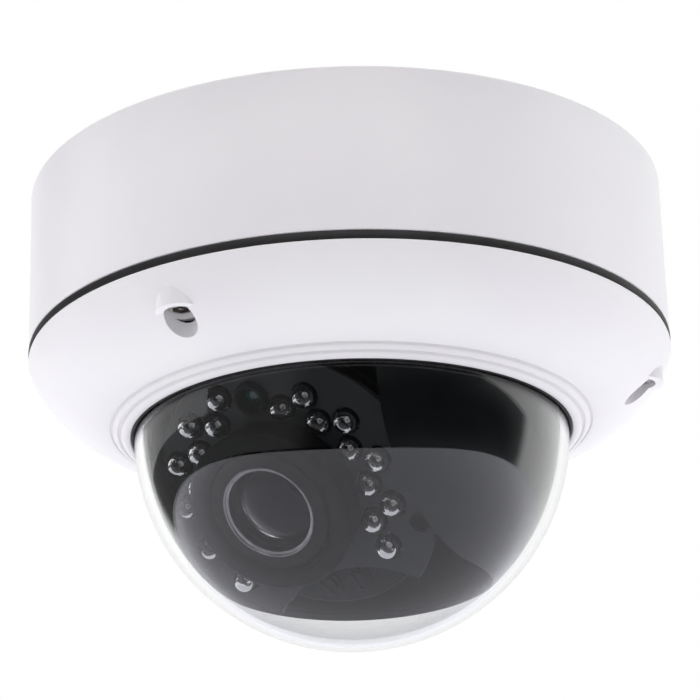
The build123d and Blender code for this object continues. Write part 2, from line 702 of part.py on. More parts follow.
def lock_knob(turn):
    """Knurled nut on one end of the tilt axis; turn is 1 for the right end and -1 for the left."""
    with BuildPart() as knob:
        with BuildSketch(trunnion.offset(turn * (ARM_X + ARM_T + RUN_GAP))):
            Circle(KNOB_R)
            with PolarLocations(KNOB_R, 20):
                Circle(0.4, mode=Mode.SUBTRACT)
        extrude(amount=turn * KNOB_T)
        with BuildSketch(trunnion.offset(turn * (ARM_X + ARM_T + RUN_GAP))):
            Circle(STUD_R + 2 * RUN_FIT)
        extrude(amount=turn * 2.5, mode=Mode.SUBTRACT)
    return knob


tilt_knob_right = lock_knob(1)
tilt_knob_left = lock_knob(-1)

# ================================================================ roll: holder, lens and LED head
HOLDER_HALF = 4.2
FLANGE_HEAD_R = 24.5
HOLDER_FLANGE_T = 2.0
MOUNT_R = 13.9
ROLL_HOLE = 6.0
roll_screw_spots = clock(18.8, 60, 180, 300)
with BuildPart() as lens_holder:
    with BuildSketch(head.offset(-HOLDER_HALF)):
        Circle(HOLDER_R)
    extrude(amount=2 * HOLDER_HALF)
    with BuildSketch(head.offset(HOLDER_HALF)):
        Circle(FLANGE_HEAD_R)
    extrude(amount=HOLDER_FLANGE_T)
    with BuildSketch(lens.offset(-HOLDER_HALF)):
        Circle(BARREL_R)
    extrude(amount=2 * HOLDER_HALF + HOLDER_FLANGE_T, mode=Mode.SUBTRACT)
    with BuildSketch(head.offset(-HOLDER_HALF)):
        with Locations(*roll_screw_spots):
            Circle(SCREW_2)
    extrude(amount=ROLL_HOLE, mode=Mode.SUBTRACT)

with BuildPart() as roll_retainer:
    with BuildSketch(head.offset(-HOLDER_HALF)):
        Circle(FLANGE_HEAD_R)
        with Locations((LENS_OFFSET, 0)):
            Circle(MOUNT_R, mode=Mode.SUBTRACT)
        with Locations(*roll_screw_spots):
            Circle(SCREW_2, mode=Mode.SUBTRACT)
    extrude(amount=-HOLDER_FLANGE_T)

with BuildPart() as roll_retainer_screws:
    with BuildSketch(head.offset(-HOLDER_HALF - HOLDER_FLANGE_T)):
        with Locations(*roll_screw_spots):
            Circle(HEAD_2)
    extrude(amount=-1.2)
    with BuildSketch(head.offset(-HOLDER_HALF - HOLDER_FLANGE_T)):
        with Locations(*roll_screw_spots):
            Circle(SCREW_2)
    extrude(amount=HOLDER_FLANGE_T + ROLL_HOLE)

# Plastic mount that joins the lens to the image sensor's board.
MOUNT_REAR = -15.0
MOUNT_FLANGE_T = 3.0
TAIL_R = 8.0                # rear end of the lens barrel, which sits in the mount
SENSOR_SCREW_PITCH = 26.0
mount_front = MOUNT_REAR + MOUNT_FLANGE_T
with BuildPart() as lens_mount:
    with BuildSketch(lens.offset(mount_front)):
        Circle(MOUNT_R)
    extrude(amount=-HOLDER_HALF - mount_front)
    with BuildSketch(lens.offset(MOUNT_REAR)):
        RectangleRounded(31, 31, 2.5)
    extrude(amount=MOUNT_FLANGE_T)
    with BuildSketch(lens.offset(mount_front)):
        Circle(TAIL_R)
    extrude(amount=-HOLDER_HALF - mount_front, mode=Mode.SUBTRACT)
    with BuildSketch(lens.offset(MOUNT_REAR)):
        Rectangle(14, 14)
    extrude(amount=MOUNT_FLANGE_T, mode=Mode.SUBTRACT)
    with BuildSketch(lens.offset(MOUNT_REAR)):
        with GridLocations(SENSOR_SCREW_PITCH, SENSOR_SCREW_PITCH, 2, 2):
            Circle(SCREW_18)
    extrude(amount=2.4, mode=Mode.SUBTRACT)

SENSOR_BOARD_T = 1.4
with BuildPart() as sensor_board:
    with BuildSketch(lens.offset(MOUNT_REAR)):
        RectangleRounded(32, 32, 2)
        with GridLocations(SENSOR_SCREW_PITCH, SENSOR_SCREW_PITCH, 2, 2):
            Circle(SCREW_18, mode=Mode.SUBTRACT)
    extrude(amount=-SENSOR_BOARD_T)

with BuildPart() as sensor_board_screws:
    with BuildSketch(lens.offset(MOUNT_REAR - SENSOR_BOARD_T)):
        with GridLocations(SENSOR_SCREW_PITCH, SENSOR_SCREW_PITCH, 2, 2):
            Circle(HEAD_18)
    extrude(amount=-1.2)
    with BuildSketch(lens.offset(MOUNT_REAR - SENSOR_BOARD_T)):
        with GridLocations(SENSOR_SCREW_PITCH, SENSOR_SCREW_PITCH, 2, 2):
            Circle(SCREW_18)
    extrude(amount=3.6)

with BuildPart() as image_sensor:
    with BuildSketch(lens.offset(MOUNT_REAR)):
        Rectangle(11, 10)
    extrude(amount=1.4)

with BuildPart() as board_socket:
    with BuildSketch(lens.offset(MOUNT_REAR - SENSOR_BOARD_T)):
        with Locations((0, -9)):
            Rectangle(14, 4.5)
    extrude(amount=-3)

# Varifocal lens: fixed barrel, iris and rear glass.
BORE_R = 11.2
COLLAR_R = 14.3             # collars that keep the two rings in place
REAR_BORE_R = 6.0
IRIS_D = 4.0
with BuildPart() as lens_barrel:
    with BuildSketch(lens_section):
        Polygon(
            (REAR_BORE_R, mount_front), (TAIL_R, mount_front), (TAIL_R, -HOLDER_HALF),
            (BARREL_R, -HOLDER_HALF), (BARREL_R, 14.8), (COLLAR_R, 14.8), (COLLAR_R, 16.7),
            (BARREL_R, 16.7), (BARREL_R, 24.3), (COLLAR_R, 24.3), (COLLAR_R, 27), (BORE_R, 27),
            (BORE_R, IRIS_D), (REAR_BORE_R, IRIS_D), align=None,
        )
    revolve(axis=lens_line)


def lens_element(radius, rear_apex, rear_edge, front_edge, front_apex):
    """Round glass between two spherical faces, given by their heights at the axis and at the rim."""
    def halfway(apex, edge):
        if apex == edge:
            return (radius / 2, apex)
        sphere_r = (radius ** 2 + (apex - edge) ** 2) / (2 * (apex - edge))
        drop = abs(sphere_r) - sqrt(sphere_r ** 2 - (radius / 2) ** 2)
        return (radius / 2, apex - drop if apex > edge else apex + drop)

    with BuildPart() as glass:
        with BuildSketch(lens_section):
            with BuildLine():
                Line((0, rear_apex), (0, front_apex))
                ThreePointArc((0, front_apex), halfway(front_apex, front_edge), (radius, front_edge))
                Line((radius, front_edge), (radius, rear_edge))
                ThreePointArc((radius, rear_edge), halfway(rear_apex, rear_edge), (0, rear_apex))
            make_face()
        revolve(axis=lens_line)
    return glass


rear_glass = lens_element(REAR_BORE_R, -3.4, -2.0, 1.4, 3.2)

with BuildPart() as iris_plate:
    with BuildSketch(lens.offset(IRIS_D)):
        Circle(BORE_R)
        Circle(3, mode=Mode.SUBTRACT)
    extrude(amount=0.8)


RING_SCREW_R = 0.8
RING_SCREW_HEAD_R = 1.6


def lens_ring(start, width, screw_angle):
    """Knurled ring round the barrel, and its radial lock screw."""
    with BuildPart() as ring:
        with BuildSketch(lens.offset(start)):
            Circle(RING_R)
            Circle(BARREL_R + RUN_FIT, mode=Mode.SUBTRACT)
            with PolarLocations(RING_R, 36):
                Circle(0.4, mode=Mode.SUBTRACT)
        extrude(amount=width)
        middle_point = lens.offset(start + width / 2).origin
        outward = side * sin(radians(screw_angle)) + lens_up * cos(radians(screw_angle))
        radial = Plane(origin=middle_point, x_dir=lens_axis, z_dir=outward)
        with BuildSketch(radial.offset(BARREL_R + 0.3)):
            Circle(RING_SCREW_R + RUN_FIT)
        extrude(amount=5, mode=Mode.SUBTRACT)
    with BuildPart() as screw:
        with BuildSketch(radial.offset(BARREL_R + 0.4)):
            Circle(RING_SCREW_R)
        extrude(amount=RING_R - BARREL_R)
        with BuildSketch(radial.offset(RING_R + RUN_GAP)):
            Circle(RING_SCREW_HEAD_R)
            with PolarLocations(RING_SCREW_HEAD_R, 8):
                Circle(0.25, mode=Mode.SUBTRACT)
        extrude(amount=3.7)
    return ring, screw


zoom_ring, zoom_lock_screw = lens_ring(8.5, 6.0, -60)
focus_ring, focus_lock_screw = lens_ring(17.0, 7.0, 40)

# Front lens group, which slides in the barrel as the focus ring turns.
GLASS_R = 9.6
BEZEL_R = 10.5
BEZEL_D = 37.4
RIM_R = 13.7
GLASS_SEAT_D = 34.0
MIDDLE_R = 6.5
MIDDLE_SEAT_D = 16.0
with BuildPart() as front_barrel:
    with BuildSketch(lens_section):
        Polygon(
            (5, 12), (BORE_R - RUN_FIT, 12), (BORE_R - RUN_FIT, 33.5), (RIM_R, 35), (RIM_R, 37.6),
            (13.2, 38.1), (BEZEL_R, 38.5), (BEZEL_R, BEZEL_D), (GLASS_R, BEZEL_D),
            (GLASS_R, GLASS_SEAT_D), (8.6, GLASS_SEAT_D), (MIDDLE_R, 18.6), (MIDDLE_R, MIDDLE_SEAT_D),
            (5, MIDDLE_SEAT_D), align=None,
        )
    revolve(axis=lens_line)

middle_glass = lens_element(MIDDLE_R, 16.6, MIDDLE_SEAT_D, 17.0, 18.8)
front_glass = lens_element(GLASS_R, 35.2, GLASS_SEAT_D, 35.4, 38.2)

with BuildPart() as front_bezel:
    with BuildSketch(lens.offset(BEZEL_D)):
        Circle(BEZEL_R)
        Circle(GLASS_R, mode=Mode.SUBTRACT)
    extrude(amount=1.2)

# Posts, tray, LED board and LED plate.
POST_CIRCLE = 22.3
POST_R = 1.8
with BuildPart() as led_posts:
    with BuildSketch(head.offset(HOLDER_HALF + HOLDER_FLANGE_T)):
        with Locations(*clock(POST_CIRCLE, 0, 120, 240)):
            Circle(POST_R)
    extrude(amount=TRAY_D - HOLDER_HALF - HOLDER_FLANGE_T)

ARCH_R = 28.8               # the board and the plate are cut away round the adjusters
arch_centre = [(2.1, -48.6)]
ADJUSTER_SHANK_R = 1.2
with BuildPart() as led_tray:
    with BuildSketch(head.offset(TRAY_D)):
        Circle(TRAY_R)
        with Locations(*adjuster_spots):
            Circle(ADJUSTER_SHANK_R, mode=Mode.SUBTRACT)
    extrude(amount=BOARD_D - TRAY_D)
    with BuildSketch(lens.offset(TRAY_D)):
        Circle(16.5)
        with Locations(*boss_spots):
            Circle(SCREW_18)
    extrude(amount=BOARD_D - TRAY_D, mode=Mode.SUBTRACT)
    with BuildSketch(head.offset(BOARD_D)):
        with Locations(*adjuster_spots):
            Circle(3.1)
            Circle(2.5, mode=Mode.SUBTRACT)
    extrude(amount=0.7)

ADJUSTER_R = 2.2
ADJUSTER_H = 1.3
with BuildPart() as led_adjusters:
    with BuildSketch(head.offset(BOARD_D)):
        with Locations(*adjuster_spots):
            Circle(ADJUSTER_R)
    extrude(amount=ADJUSTER_H)
    with BuildSketch(head.offset(BOARD_D + ADJUSTER_H)):
        with Locations(*adjuster_spots):
            Rectangle(0.7, 5, rotation=20)
    extrude(amount=-0.8, mode=Mode.SUBTRACT)
    with BuildSketch(head.offset(BOARD_D)):
        with Locations(*adjuster_spots):
            Circle(ADJUSTER_SHANK_R)
    extrude(amount=-4)

with BuildPart() as led_board:
    with BuildSketch(head.offset(BOARD_D)):
        Circle(LED_PLATE_R - 0.8)
        with Locations(*arch_centre):
            Circle(ARCH_R, mode=Mode.SUBTRACT)
    extrude(amount=BOARD_T)
    with BuildSketch(lens.offset(BOARD_D)):
        Circle(17.6)
        with Locations(*boss_spots):
            Circle(SCREW_18)
    extrude(amount=BOARD_T, mode=Mode.SUBTRACT)

LED_R = 2.5
LED_BASE = BOARD_D + BOARD_T
LED_TIP = 33.0
LED_COLLAR_R = 2.9
with BuildPart() as leds:
    with BuildSketch(lens.offset(LED_BASE)):
        with Locations(*led_spots):
            Circle(LED_COLLAR_R)
    extrude(amount=1)
    with BuildSketch(lens.offset(LED_BASE)):
        with Locations(*led_spots):
            Circle(LED_R)
    extrude(amount=LED_TIP - LED_R - LED_BASE)
    with Locations(lens.offset(LED_TIP - LED_R)):
        with Locations(*led_spots):
            Sphere(LED_R)

SENSOR_R = 3.6
SENSOR_WALL = 4.6
with BuildPart() as light_sensor:
    with BuildSketch(head.offset(LED_BASE)):
        with Locations(*light_sensor_spot):
            Circle(SENSOR_R)
    extrude(amount=SENSOR_WALL)
    with BuildSketch(head.offset(LED_BASE + SENSOR_WALL)):
        with Locations(*light_sensor_spot):
            Circle(SENSOR_R)
    extrude(amount=1.8, taper=38)

LED_HOLE_R = 3.1
LED_PLATE_HOLE_R = 17.4
BOSS_TUBE_R = 1.8
with BuildPart() as led_plate:
    with BuildSketch(head.offset(PLATE_D)):
        Circle(LED_PLATE_R)
        with Locations(*light_sensor_spot):
            Circle(SENSOR_R + 0.3, mode=Mode.SUBTRACT)
        with Locations(*plate_hole_spot):
            Circle(2.3, mode=Mode.SUBTRACT)
        with Locations(*arch_centre):
            Circle(ARCH_R, mode=Mode.SUBTRACT)
    extrude(amount=LED_PLATE_T)
    with BuildSketch(lens.offset(PLATE_D)):
        Circle(LED_PLATE_HOLE_R)
        with Locations(*led_spots):
            Circle(LED_HOLE_R)
    extrude(amount=LED_PLATE_T, mode=Mode.SUBTRACT)
    with BuildSketch(lens.offset(LED_BASE)):
        with Locations(*boss_spots):
            Circle(BOSS_TUBE_R)
            Circle(SCREW_18, mode=Mode.SUBTRACT)
    extrude(amount=PLATE_D - LED_BASE)

with BuildPart() as led_plate_screws:
    with BuildSketch(lens.offset(TRAY_D)):
        with Locations(*boss_spots):
            Circle(BOSS_TUBE_R)
    extrude(amount=-1.1)
    with BuildSketch(lens.offset(TRAY_D)):
        with Locations(*boss_spots):
            Circle(SCREW_18)
    extrude(amount=PLATE_D - TRAY_D - 0.6)

# Soft rubber hood that keeps the LEDs' light off the lens.
with BuildPart() as lens_hood:
    with BuildSketch(lens_section):
        Polygon(
            (15.2, LED_BASE), (17.1, LED_BASE), (17.2, 30), (18.5, 36.8), (18.6, 38), (17.5, HOOD_D),
            (15.4, HOOD_D), (14.6, 38.8), (14.3, 36), (14.3, 29), (15.2, 28), align=None,
        )
    revolve(axis=lens_line)

# ================================================================ files
pieces = {
    "base_housing": base_housing,
    "cable_grommet": cable_grommet,
    "conduit_plug": conduit_plug,
    "conduit_washer": conduit_washer,
    "thread_inserts": thread_inserts,
    "body_gasket": body_gasket,
    "dome_cover": dome_cover,
    "cover_screws": cover_screws,
    "screw_seals": screw_seals,
    "dome_bubble": dome_bubble,
    "bubble_seal": bubble_seal,
    "bubble_clamp_ring": bubble_clamp_ring,
    "clamp_ring_screws": clamp_ring_screws,
    "board_standoffs": board_standoffs,
    "main_board": main_board,
    "board_screws": board_screws,
    "board_components": board_components,
    "terminal_block": terminal_block,
    "gimbal_plate": gimbal_plate,
    "gimbal_plate_screws": gimbal_plate_screws,
    "pan_turntable": pan_turntable,
    "pan_retainer": pan_retainer,
    "pan_retainer_screws": pan_retainer_screws,
    "yoke": yoke,
    "yoke_screws": yoke_screws,
    "pan_lock_screw": pan_lock_screw,
    "inner_liner": inner_liner,
    "liner_screws": liner_screws,
    "tilt_ring": tilt_ring,
    "tilt_washers": tilt_washers,
    "tilt_knob_right": tilt_knob_right,
    "tilt_knob_left": tilt_knob_left,
    "lens_holder": lens_holder,
    "roll_retainer": roll_retainer,
    "roll_retainer_screws": roll_retainer_screws,
    "lens_mount": lens_mount,
    "sensor_board": sensor_board,
    "sensor_board_screws": sensor_board_screws,
    "image_sensor": image_sensor,
    "board_socket": board_socket,
    "lens_barrel": lens_barrel,
    "rear_glass": rear_glass,
    "iris_plate": iris_plate,
    "zoom_ring": zoom_ring,
    "zoom_lock_screw": zoom_lock_screw,
    "focus_ring": focus_ring,
    "focus_lock_screw": focus_lock_screw,
    "front_barrel": front_barrel,
    "middle_glass": middle_glass,
    "front_glass": front_glass,
    "front_bezel": front_bezel,
    "led_posts": led_posts,
    "led_tray": led_tray,
    "led_adjusters": led_adjusters,
    "led_board": led_board,
    "leds": leds,
    "light_sensor": light_sensor,
    "led_plate": led_plate,
    "led_plate_screws": led_plate_screws,
    "lens_hood": lens_hood,
}
os.makedirs("parts", exist_ok=True)
for label, piece in pieces.items():
    piece.part.label = label
    export_step(piece.part, f"parts/{label}.step")
print(len(pieces), "pieces")
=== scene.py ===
import json
from math import atan2, cos, degrees, pi, radians, sin, sqrt

import bmesh
import bpy
from mathutils import Matrix, Vector


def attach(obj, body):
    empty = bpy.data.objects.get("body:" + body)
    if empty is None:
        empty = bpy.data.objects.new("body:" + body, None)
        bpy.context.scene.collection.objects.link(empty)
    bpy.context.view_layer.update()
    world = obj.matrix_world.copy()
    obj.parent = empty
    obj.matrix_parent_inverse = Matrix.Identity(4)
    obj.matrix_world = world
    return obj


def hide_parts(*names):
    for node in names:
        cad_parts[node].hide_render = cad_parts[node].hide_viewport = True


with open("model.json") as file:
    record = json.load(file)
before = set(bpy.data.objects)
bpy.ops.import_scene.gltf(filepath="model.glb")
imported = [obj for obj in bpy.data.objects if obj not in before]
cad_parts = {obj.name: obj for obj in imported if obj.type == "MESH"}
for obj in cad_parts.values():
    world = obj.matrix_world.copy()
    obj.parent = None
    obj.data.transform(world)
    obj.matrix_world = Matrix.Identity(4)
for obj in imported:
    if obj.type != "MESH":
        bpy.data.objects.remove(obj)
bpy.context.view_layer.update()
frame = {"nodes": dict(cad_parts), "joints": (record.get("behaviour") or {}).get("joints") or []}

nodes = frame["nodes"]
joints = {joint["name"]: joint for joint in frame["joints"]}

# ------------------------------------------------------------------ camera
# Stands in front of the dome and below it, and looks up at it through a long lens.  It is rolled and
# shifted a little.
VIEW_DISTANCE = 0.8
VIEW_BELOW = radians(21.51)
VIEW_ROLL = radians(1.57)
FOCAL_LENGTH = 180.9
SHIFT_ACROSS = 0.0019
SHIFT_UP = -0.0413
aim = Vector((0, 0, -0.030))
eye = aim + VIEW_DISTANCE * Vector((0, -cos(VIEW_BELOW), -sin(VIEW_BELOW)))
camera_data = bpy.data.cameras.new("camera")
camera_data.lens = FOCAL_LENGTH
camera_data.shift_x = SHIFT_ACROSS
camera_data.shift_y = SHIFT_UP
camera_data.clip_start = 0.02
camera = bpy.data.objects.new("camera", camera_data)
bpy.context.scene.collection.objects.link(camera)
facing = (aim - eye).to_track_quat("-Z", "Y").to_matrix().to_4x4()
camera.matrix_world = Matrix.Translation(eye) @ facing @ Matrix.Rotation(-VIEW_ROLL, 4, "Z")
bpy.context.scene.camera = camera
bpy.context.scene.view_settings.view_transform = "Standard"

# ------------------------------------------------------------------ studio
# A round pale floor under the dome, dim in the middle and with a dark rim, and surroundings that are
# bright behind and above and dark in front.  Three soft boxes and four lamps light the paint and glass.
FLOOR_Z = -0.55
FLOOR_R = 3.5
FLOOR_Y = 2.53
FLOOR_RIM = 0.08
DIM_SPOT = (-0.2, -0.1, FLOOR_Z)
DIM_REACH = (0.3, 3.0)


class Wire:
    """An output socket of a node tree.  Arithmetic on wires adds Math nodes to the tree."""

    def __init__(self, tree, socket=None):
        self.tree = tree
        self.socket = socket

    def make(self, kind, settings=None, inputs=None, out=0):
        """Adds a node: first its settings, then the values or wires of its input sockets."""
        made = self.tree.nodes.new(kind)
        for key, value in (settings or {}).items():
            setattr(made, key, value)
        for key, value in (inputs or {}).items():
            self.feed(value, made.inputs[key])
        return Wire(self.tree, made.outputs[out])

    def feed(self, value, socket):
        if isinstance(value, Wire):
            self.tree.links.new(value.socket, socket)
        elif socket.type == "RGBA":
            socket.default_value = (*value, 1)
        else:
            socket.default_value = value

    def maths(self, operation, *values):
        return self.make("ShaderNodeMath", {"operation": operation}, dict(enumerate(values)))

    def __add__(self, other):
        return self.maths("ADD", self, other)

    def __sub__(self, other):
        return self.maths("SUBTRACT", self, other)

    def __rsub__(self, other):
        return self.maths("SUBTRACT", other, self)

    def __mul__(self, other):
        return self.maths("MULTIPLY", self, other)

    __radd__ = __add__
    __rmul__ = __mul__

    def between(self, low, high):
        """0 below low, 1 above high, and smooth between."""
        inputs = {"Value": self, "From Min": low, "From Max": high}
        return self.make("ShaderNodeMapRange", {"interpolation_type": "SMOOTHSTEP"}, inputs)

    def blend(self, first, second):
        """The colour first where this wire is 0, and second where it is 1."""
        inputs = {"Factor": self, 6: first, 7: second}
        return self.make("ShaderNodeMix", {"data_type": "RGBA"}, inputs, out=2)

    def noise(self, scale, detail=3.0, roughness=0.5):
        inputs = {"Vector": self, "Scale": scale, "Detail": detail, "Roughness": roughness}
        return self.make("ShaderNodeTexNoise", {}, inputs)

    def part(self, axis):
        return self.make("ShaderNodeSeparateXYZ", {}, {0: self}, out=axis)


def finish(name, colour=None, rough=None, relief=None, depth=0.00002, glow=None, **constants):
    """A finish on a Principled shader.  colour, rough, relief and glow each take the place on the piece
    and give what varies over it; the constants go straight to the shader's sockets."""
    material = bpy.data.materials.new(name)
    material.use_nodes = True
    tree = material.node_tree
    shader = next(node for node in tree.nodes if node.type == "BSDF_PRINCIPLED")
    wire = Wire(tree)
    for key, value in constants.items():
        wire.feed(value, shader.inputs[key.replace("_", " ")])
    place = wire.make("ShaderNodeTexCoord", out="Object")
    if colour:
        wire.feed(colour(place), shader.inputs["Base Color"])
    if rough:
        wire.feed(rough(place), shader.inputs["Roughness"])
    if glow:
        wire.feed(glow(place), shader.inputs["Emission Color"])
    if relief:
        bump = wire.make("ShaderNodeBump", {}, {"Height": relief(place), "Distance": depth})
        wire.feed(bump, shader.inputs["Normal"])
    return material


def stage_piece(name, bm, shade, glow):
    """A floor or a soft box, which glows less near the dim spot."""
    mesh = bpy.data.meshes.new(name)
    bm.to_mesh(mesh)
    bm.free()
    piece = bpy.data.objects.new(name, mesh)
    bpy.context.scene.collection.objects.link(piece)
    dim = tuple(0.3 * level for level in shade)
    dimmest = tuple(0.29 * level for level in shade)

    def paint(place):
        return place.noise(3.0).between(0.2, 0.8).blend(dimmest, dim)

    def light(place):
        ends = {0: place, 1: DIM_SPOT}
        away = place.make("ShaderNodeVectorMath", {"operation": "DISTANCE"}, ends, out="Value")
        return away.between(*DIM_REACH).blend(dim, shade)

    mesh.materials.append(
        finish(name, colour=paint, glow=light, Roughness=1.0, IOR=1.0, Emission_Strength=glow))
    return piece


for name, reach, drop, shade, glow in (
    ("floor", FLOOR_R, 0, (0.86, 0.86, 0.92), 0.95),
    ("floor_rim", FLOOR_R + FLOOR_RIM, 0.01, (0.01, 0.01, 0.01), 0),
):
    bm = bmesh.new()
    bmesh.ops.create_circle(bm, cap_ends=True, segments=128, radius=reach)
    bmesh.ops.translate(bm, verts=bm.verts, vec=(0, FLOOR_Y, FLOOR_Z - drop))
    stage_piece(name, bm, shade, glow)


def towards(azimuth, elevation, reach):
    """A place that far away in a direction: azimuth from -Y towards +X, elevation above the horizon."""
    a, e = radians(azimuth), radians(elevation)
    return reach * Vector((cos(e) * sin(a), -cos(e) * cos(a), sin(e)))


BOX_REACH = 2.2
for name, corners, glow in (
    ("soft_box_right", ((61, 17), (115, 3), (115, 50), (61, 50)), 0.75),
    ("soft_box_front", ((-32, 17), (28, 17), (28, 36), (-32, 36)), 2.2),
    ("soft_box_left", ((-80, 5), (-150, 5), (-150, 50), (-80, 50)), 1.0),
):
    bm = bmesh.new()
    bm.faces.new([bm.verts.new(towards(*corner, BOX_REACH)) for corner in corners])
    soft_box = stage_piece(name, bm, (1.0, 1.0, 1.0), glow)
    soft_box.visible_camera = False
    soft_box.visible_glossy = name != "soft_box_left"

for name, place, target, width, depth, power, tint in (
    ("ceiling_lamp", Vector((-0.05, -0.17, 0.012)), Vector((-0.05, -0.17, -1)), 1.1, 0.16, 0.34,
     (1.0, 0.9, 0.96)),
    ("table_lamp", Vector((0, 0.3, FLOOR_Z + 0.01)), Vector((0, 0.3, 1)), 2.4, 2.4, 15, (1.0, 0.99, 1.0)),
    ("left_lamp", towards(-100, 16, 1.5), aim, 0.8, 0.8, 6.5, (1.0, 0.97, 1.0)),
    ("right_lamp", towards(95, 16, 1.5), aim, 0.8, 0.8, 4.5, (1.0, 0.97, 1.0)),
):
    lamp_data = bpy.data.lights.new(name, "AREA")
    lamp_data.shape = "RECTANGLE"
    lamp_data.size = width
    lamp_data.size_y = depth
    lamp_data.energy = power
    lamp_data.color = tint
    lamp = bpy.data.objects.new(name, lamp_data)
    bpy.context.scene.collection.objects.link(lamp)
    lamp.location = place
    lamp.rotation_euler = (target - place).to_track_quat("-Z", "Y").to_euler()
    lamp.visible_camera = False
    lamp.visible_glossy = False
    lamp.visible_transmission = False

world = bpy.data.worlds.new("studio")
world.use_nodes = True
bpy.context.scene.world = world
wire = Wire(world.node_tree)
sky = next(node for node in world.node_tree.nodes if node.type == "BACKGROUND")
direction = wire.make("ShaderNodeTexCoord", out="Generated")
behind = (direction.part(1) + 0.335 * direction.part(0)).between(0.5, 0.6)
above = direction.part(2).between(0.5, 0.75)
left = (-1 * direction.part(0)).between(0.3, 0.6)
glow = 0.02 + 0.12 * left + behind.maths("MAXIMUM", behind, 0.85 * above)
seen = direction.make("ShaderNodeLightPath", out="Is Camera Ray")
wire.feed(seen.blend(glow, (1.0, 1.0, 1.0)), sky.inputs["Color"])

# ------------------------------------------------------------------ base housing
# Die-cast aluminium cup, powder coated white.  Its flat back is screwed to the ceiling; three inner
# bosses take the cover screws and four pillars carry the bracket.
MM = 0.001
BASE_TOP_R = 72.07
BASE_RIM_R = 72.4
BASE_DEPTH = 38.1
WALL = 3.3
BACK = 3.0
GROMMET_HOLE = 12.5
CONDUIT_Z = -20
CONDUIT_R = 10
PLUG_RECESS_R = 12
PLUG_RECESS_Y = 68.6
SCREW_CIRCLE = 65.0
BOSS_R = 5
BOSS_HOLE_R = 2.8
FIXING_CIRCLE = 55.0
FIXING_R = 2.3
PILLAR_CIRCLE = 46.0
PILLAR_R = 4


def arc(centre, radius, start, end, steps):
    """Points of an arc in a profile, its angles in degrees from outwards (0) to up (90)."""
    turns = [radians(start + (end - start) * i / steps) for i in range(steps + 1)]
    return [(centre[0] + radius * cos(turn), centre[1] + radius * sin(turn)) for turn in turns]


def turned(profile, steps=128, closed=True):
    """A profile of (radius, height) points in millimetres, turned about the local Z axis."""
    bm = bmesh.new()
    points = [bm.verts.new((r * MM, 0, z * MM)) for r, z in profile]
    ends = zip(points, points[1:] + points[:1]) if closed else zip(points, points[1:])
    edges = [bm.edges.new(pair) for pair in ends]
    bmesh.ops.spin(bm, geom=points + edges, cent=(0, 0, 0), axis=(0, 0, 1), angle=2 * pi,
                   steps=steps, use_merge=True)
    bmesh.ops.remove_doubles(bm, verts=bm.verts, dist=1e-7)
    bmesh.ops.recalc_face_normals(bm, faces=bm.faces)
    return bm


def drums(spots, radius, low, high, segments=48):
    """Closed upright cylinders in millimetres."""
    bm = bmesh.new()
    for x, y in spots:
        middle = Matrix.Translation((x * MM, y * MM, (low + high) / 2 * MM))
        bmesh.ops.create_cone(bm, cap_ends=True, segments=segments, radius1=radius * MM,
                              radius2=radius * MM, depth=(high - low) * MM, matrix=middle)
    return bm


def around(radius, *angles):
    """Points round the dome's axis, in millimetres."""
    return [(radius * cos(radians(angle)), radius * sin(radians(angle))) for angle in angles]


screw_spots = around(SCREW_CIRCLE, -3, 117, 237)


def loose(bm):
    """An object for the Boolean modifiers, which is removed after them."""
    mesh = bpy.data.meshes.new("cutter")
    bm.to_mesh(mesh)
    bm.free()
    made = bpy.data.objects.new("cutter", mesh)
    bpy.context.scene.collection.objects.link(made)
    return made


def carve(bm, *steps):
    """Joins ("UNION") or cuts away ("DIFFERENCE") other shapes, and gives the new shape."""
    body = loose(bm)
    tools = []
    for operation, tool in steps:
        tools.append(loose(tool))
        change = body.modifiers.new("carve", "BOOLEAN")
        change.operation = operation
        change.solver = "EXACT"
        change.object = tools[-1]
    bpy.context.view_layer.update()
    result = bmesh.new()
    result.from_object(body, bpy.context.evaluated_depsgraph_get())
    for made in [body] + tools:
        bpy.data.objects.remove(made)
    return result


def fitted(name, bm, body, material, place=None, sharp=35, stands_for=()):
    """Makes a shape a piece: in its place, smooth but for its sharp edges, and riding on its body."""
    bmesh.ops.remove_doubles(bm, verts=bm.verts, dist=1e-7)
    if place is not None:
        bm.transform(place)
    bmesh.ops.recalc_face_normals(bm, faces=bm.faces)
    mesh = bpy.data.meshes.new(name)
    bm.to_mesh(mesh)
    bm.free()
    mesh.shade_smooth()
    mesh.set_sharp_from_angle(angle=radians(sharp))
    mesh.materials.append(material)
    piece = bpy.data.objects.new(name, mesh)
    bpy.context.scene.collection.objects.link(piece)
    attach(piece, body)
    if stands_for:
        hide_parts(*stands_for)
    return piece


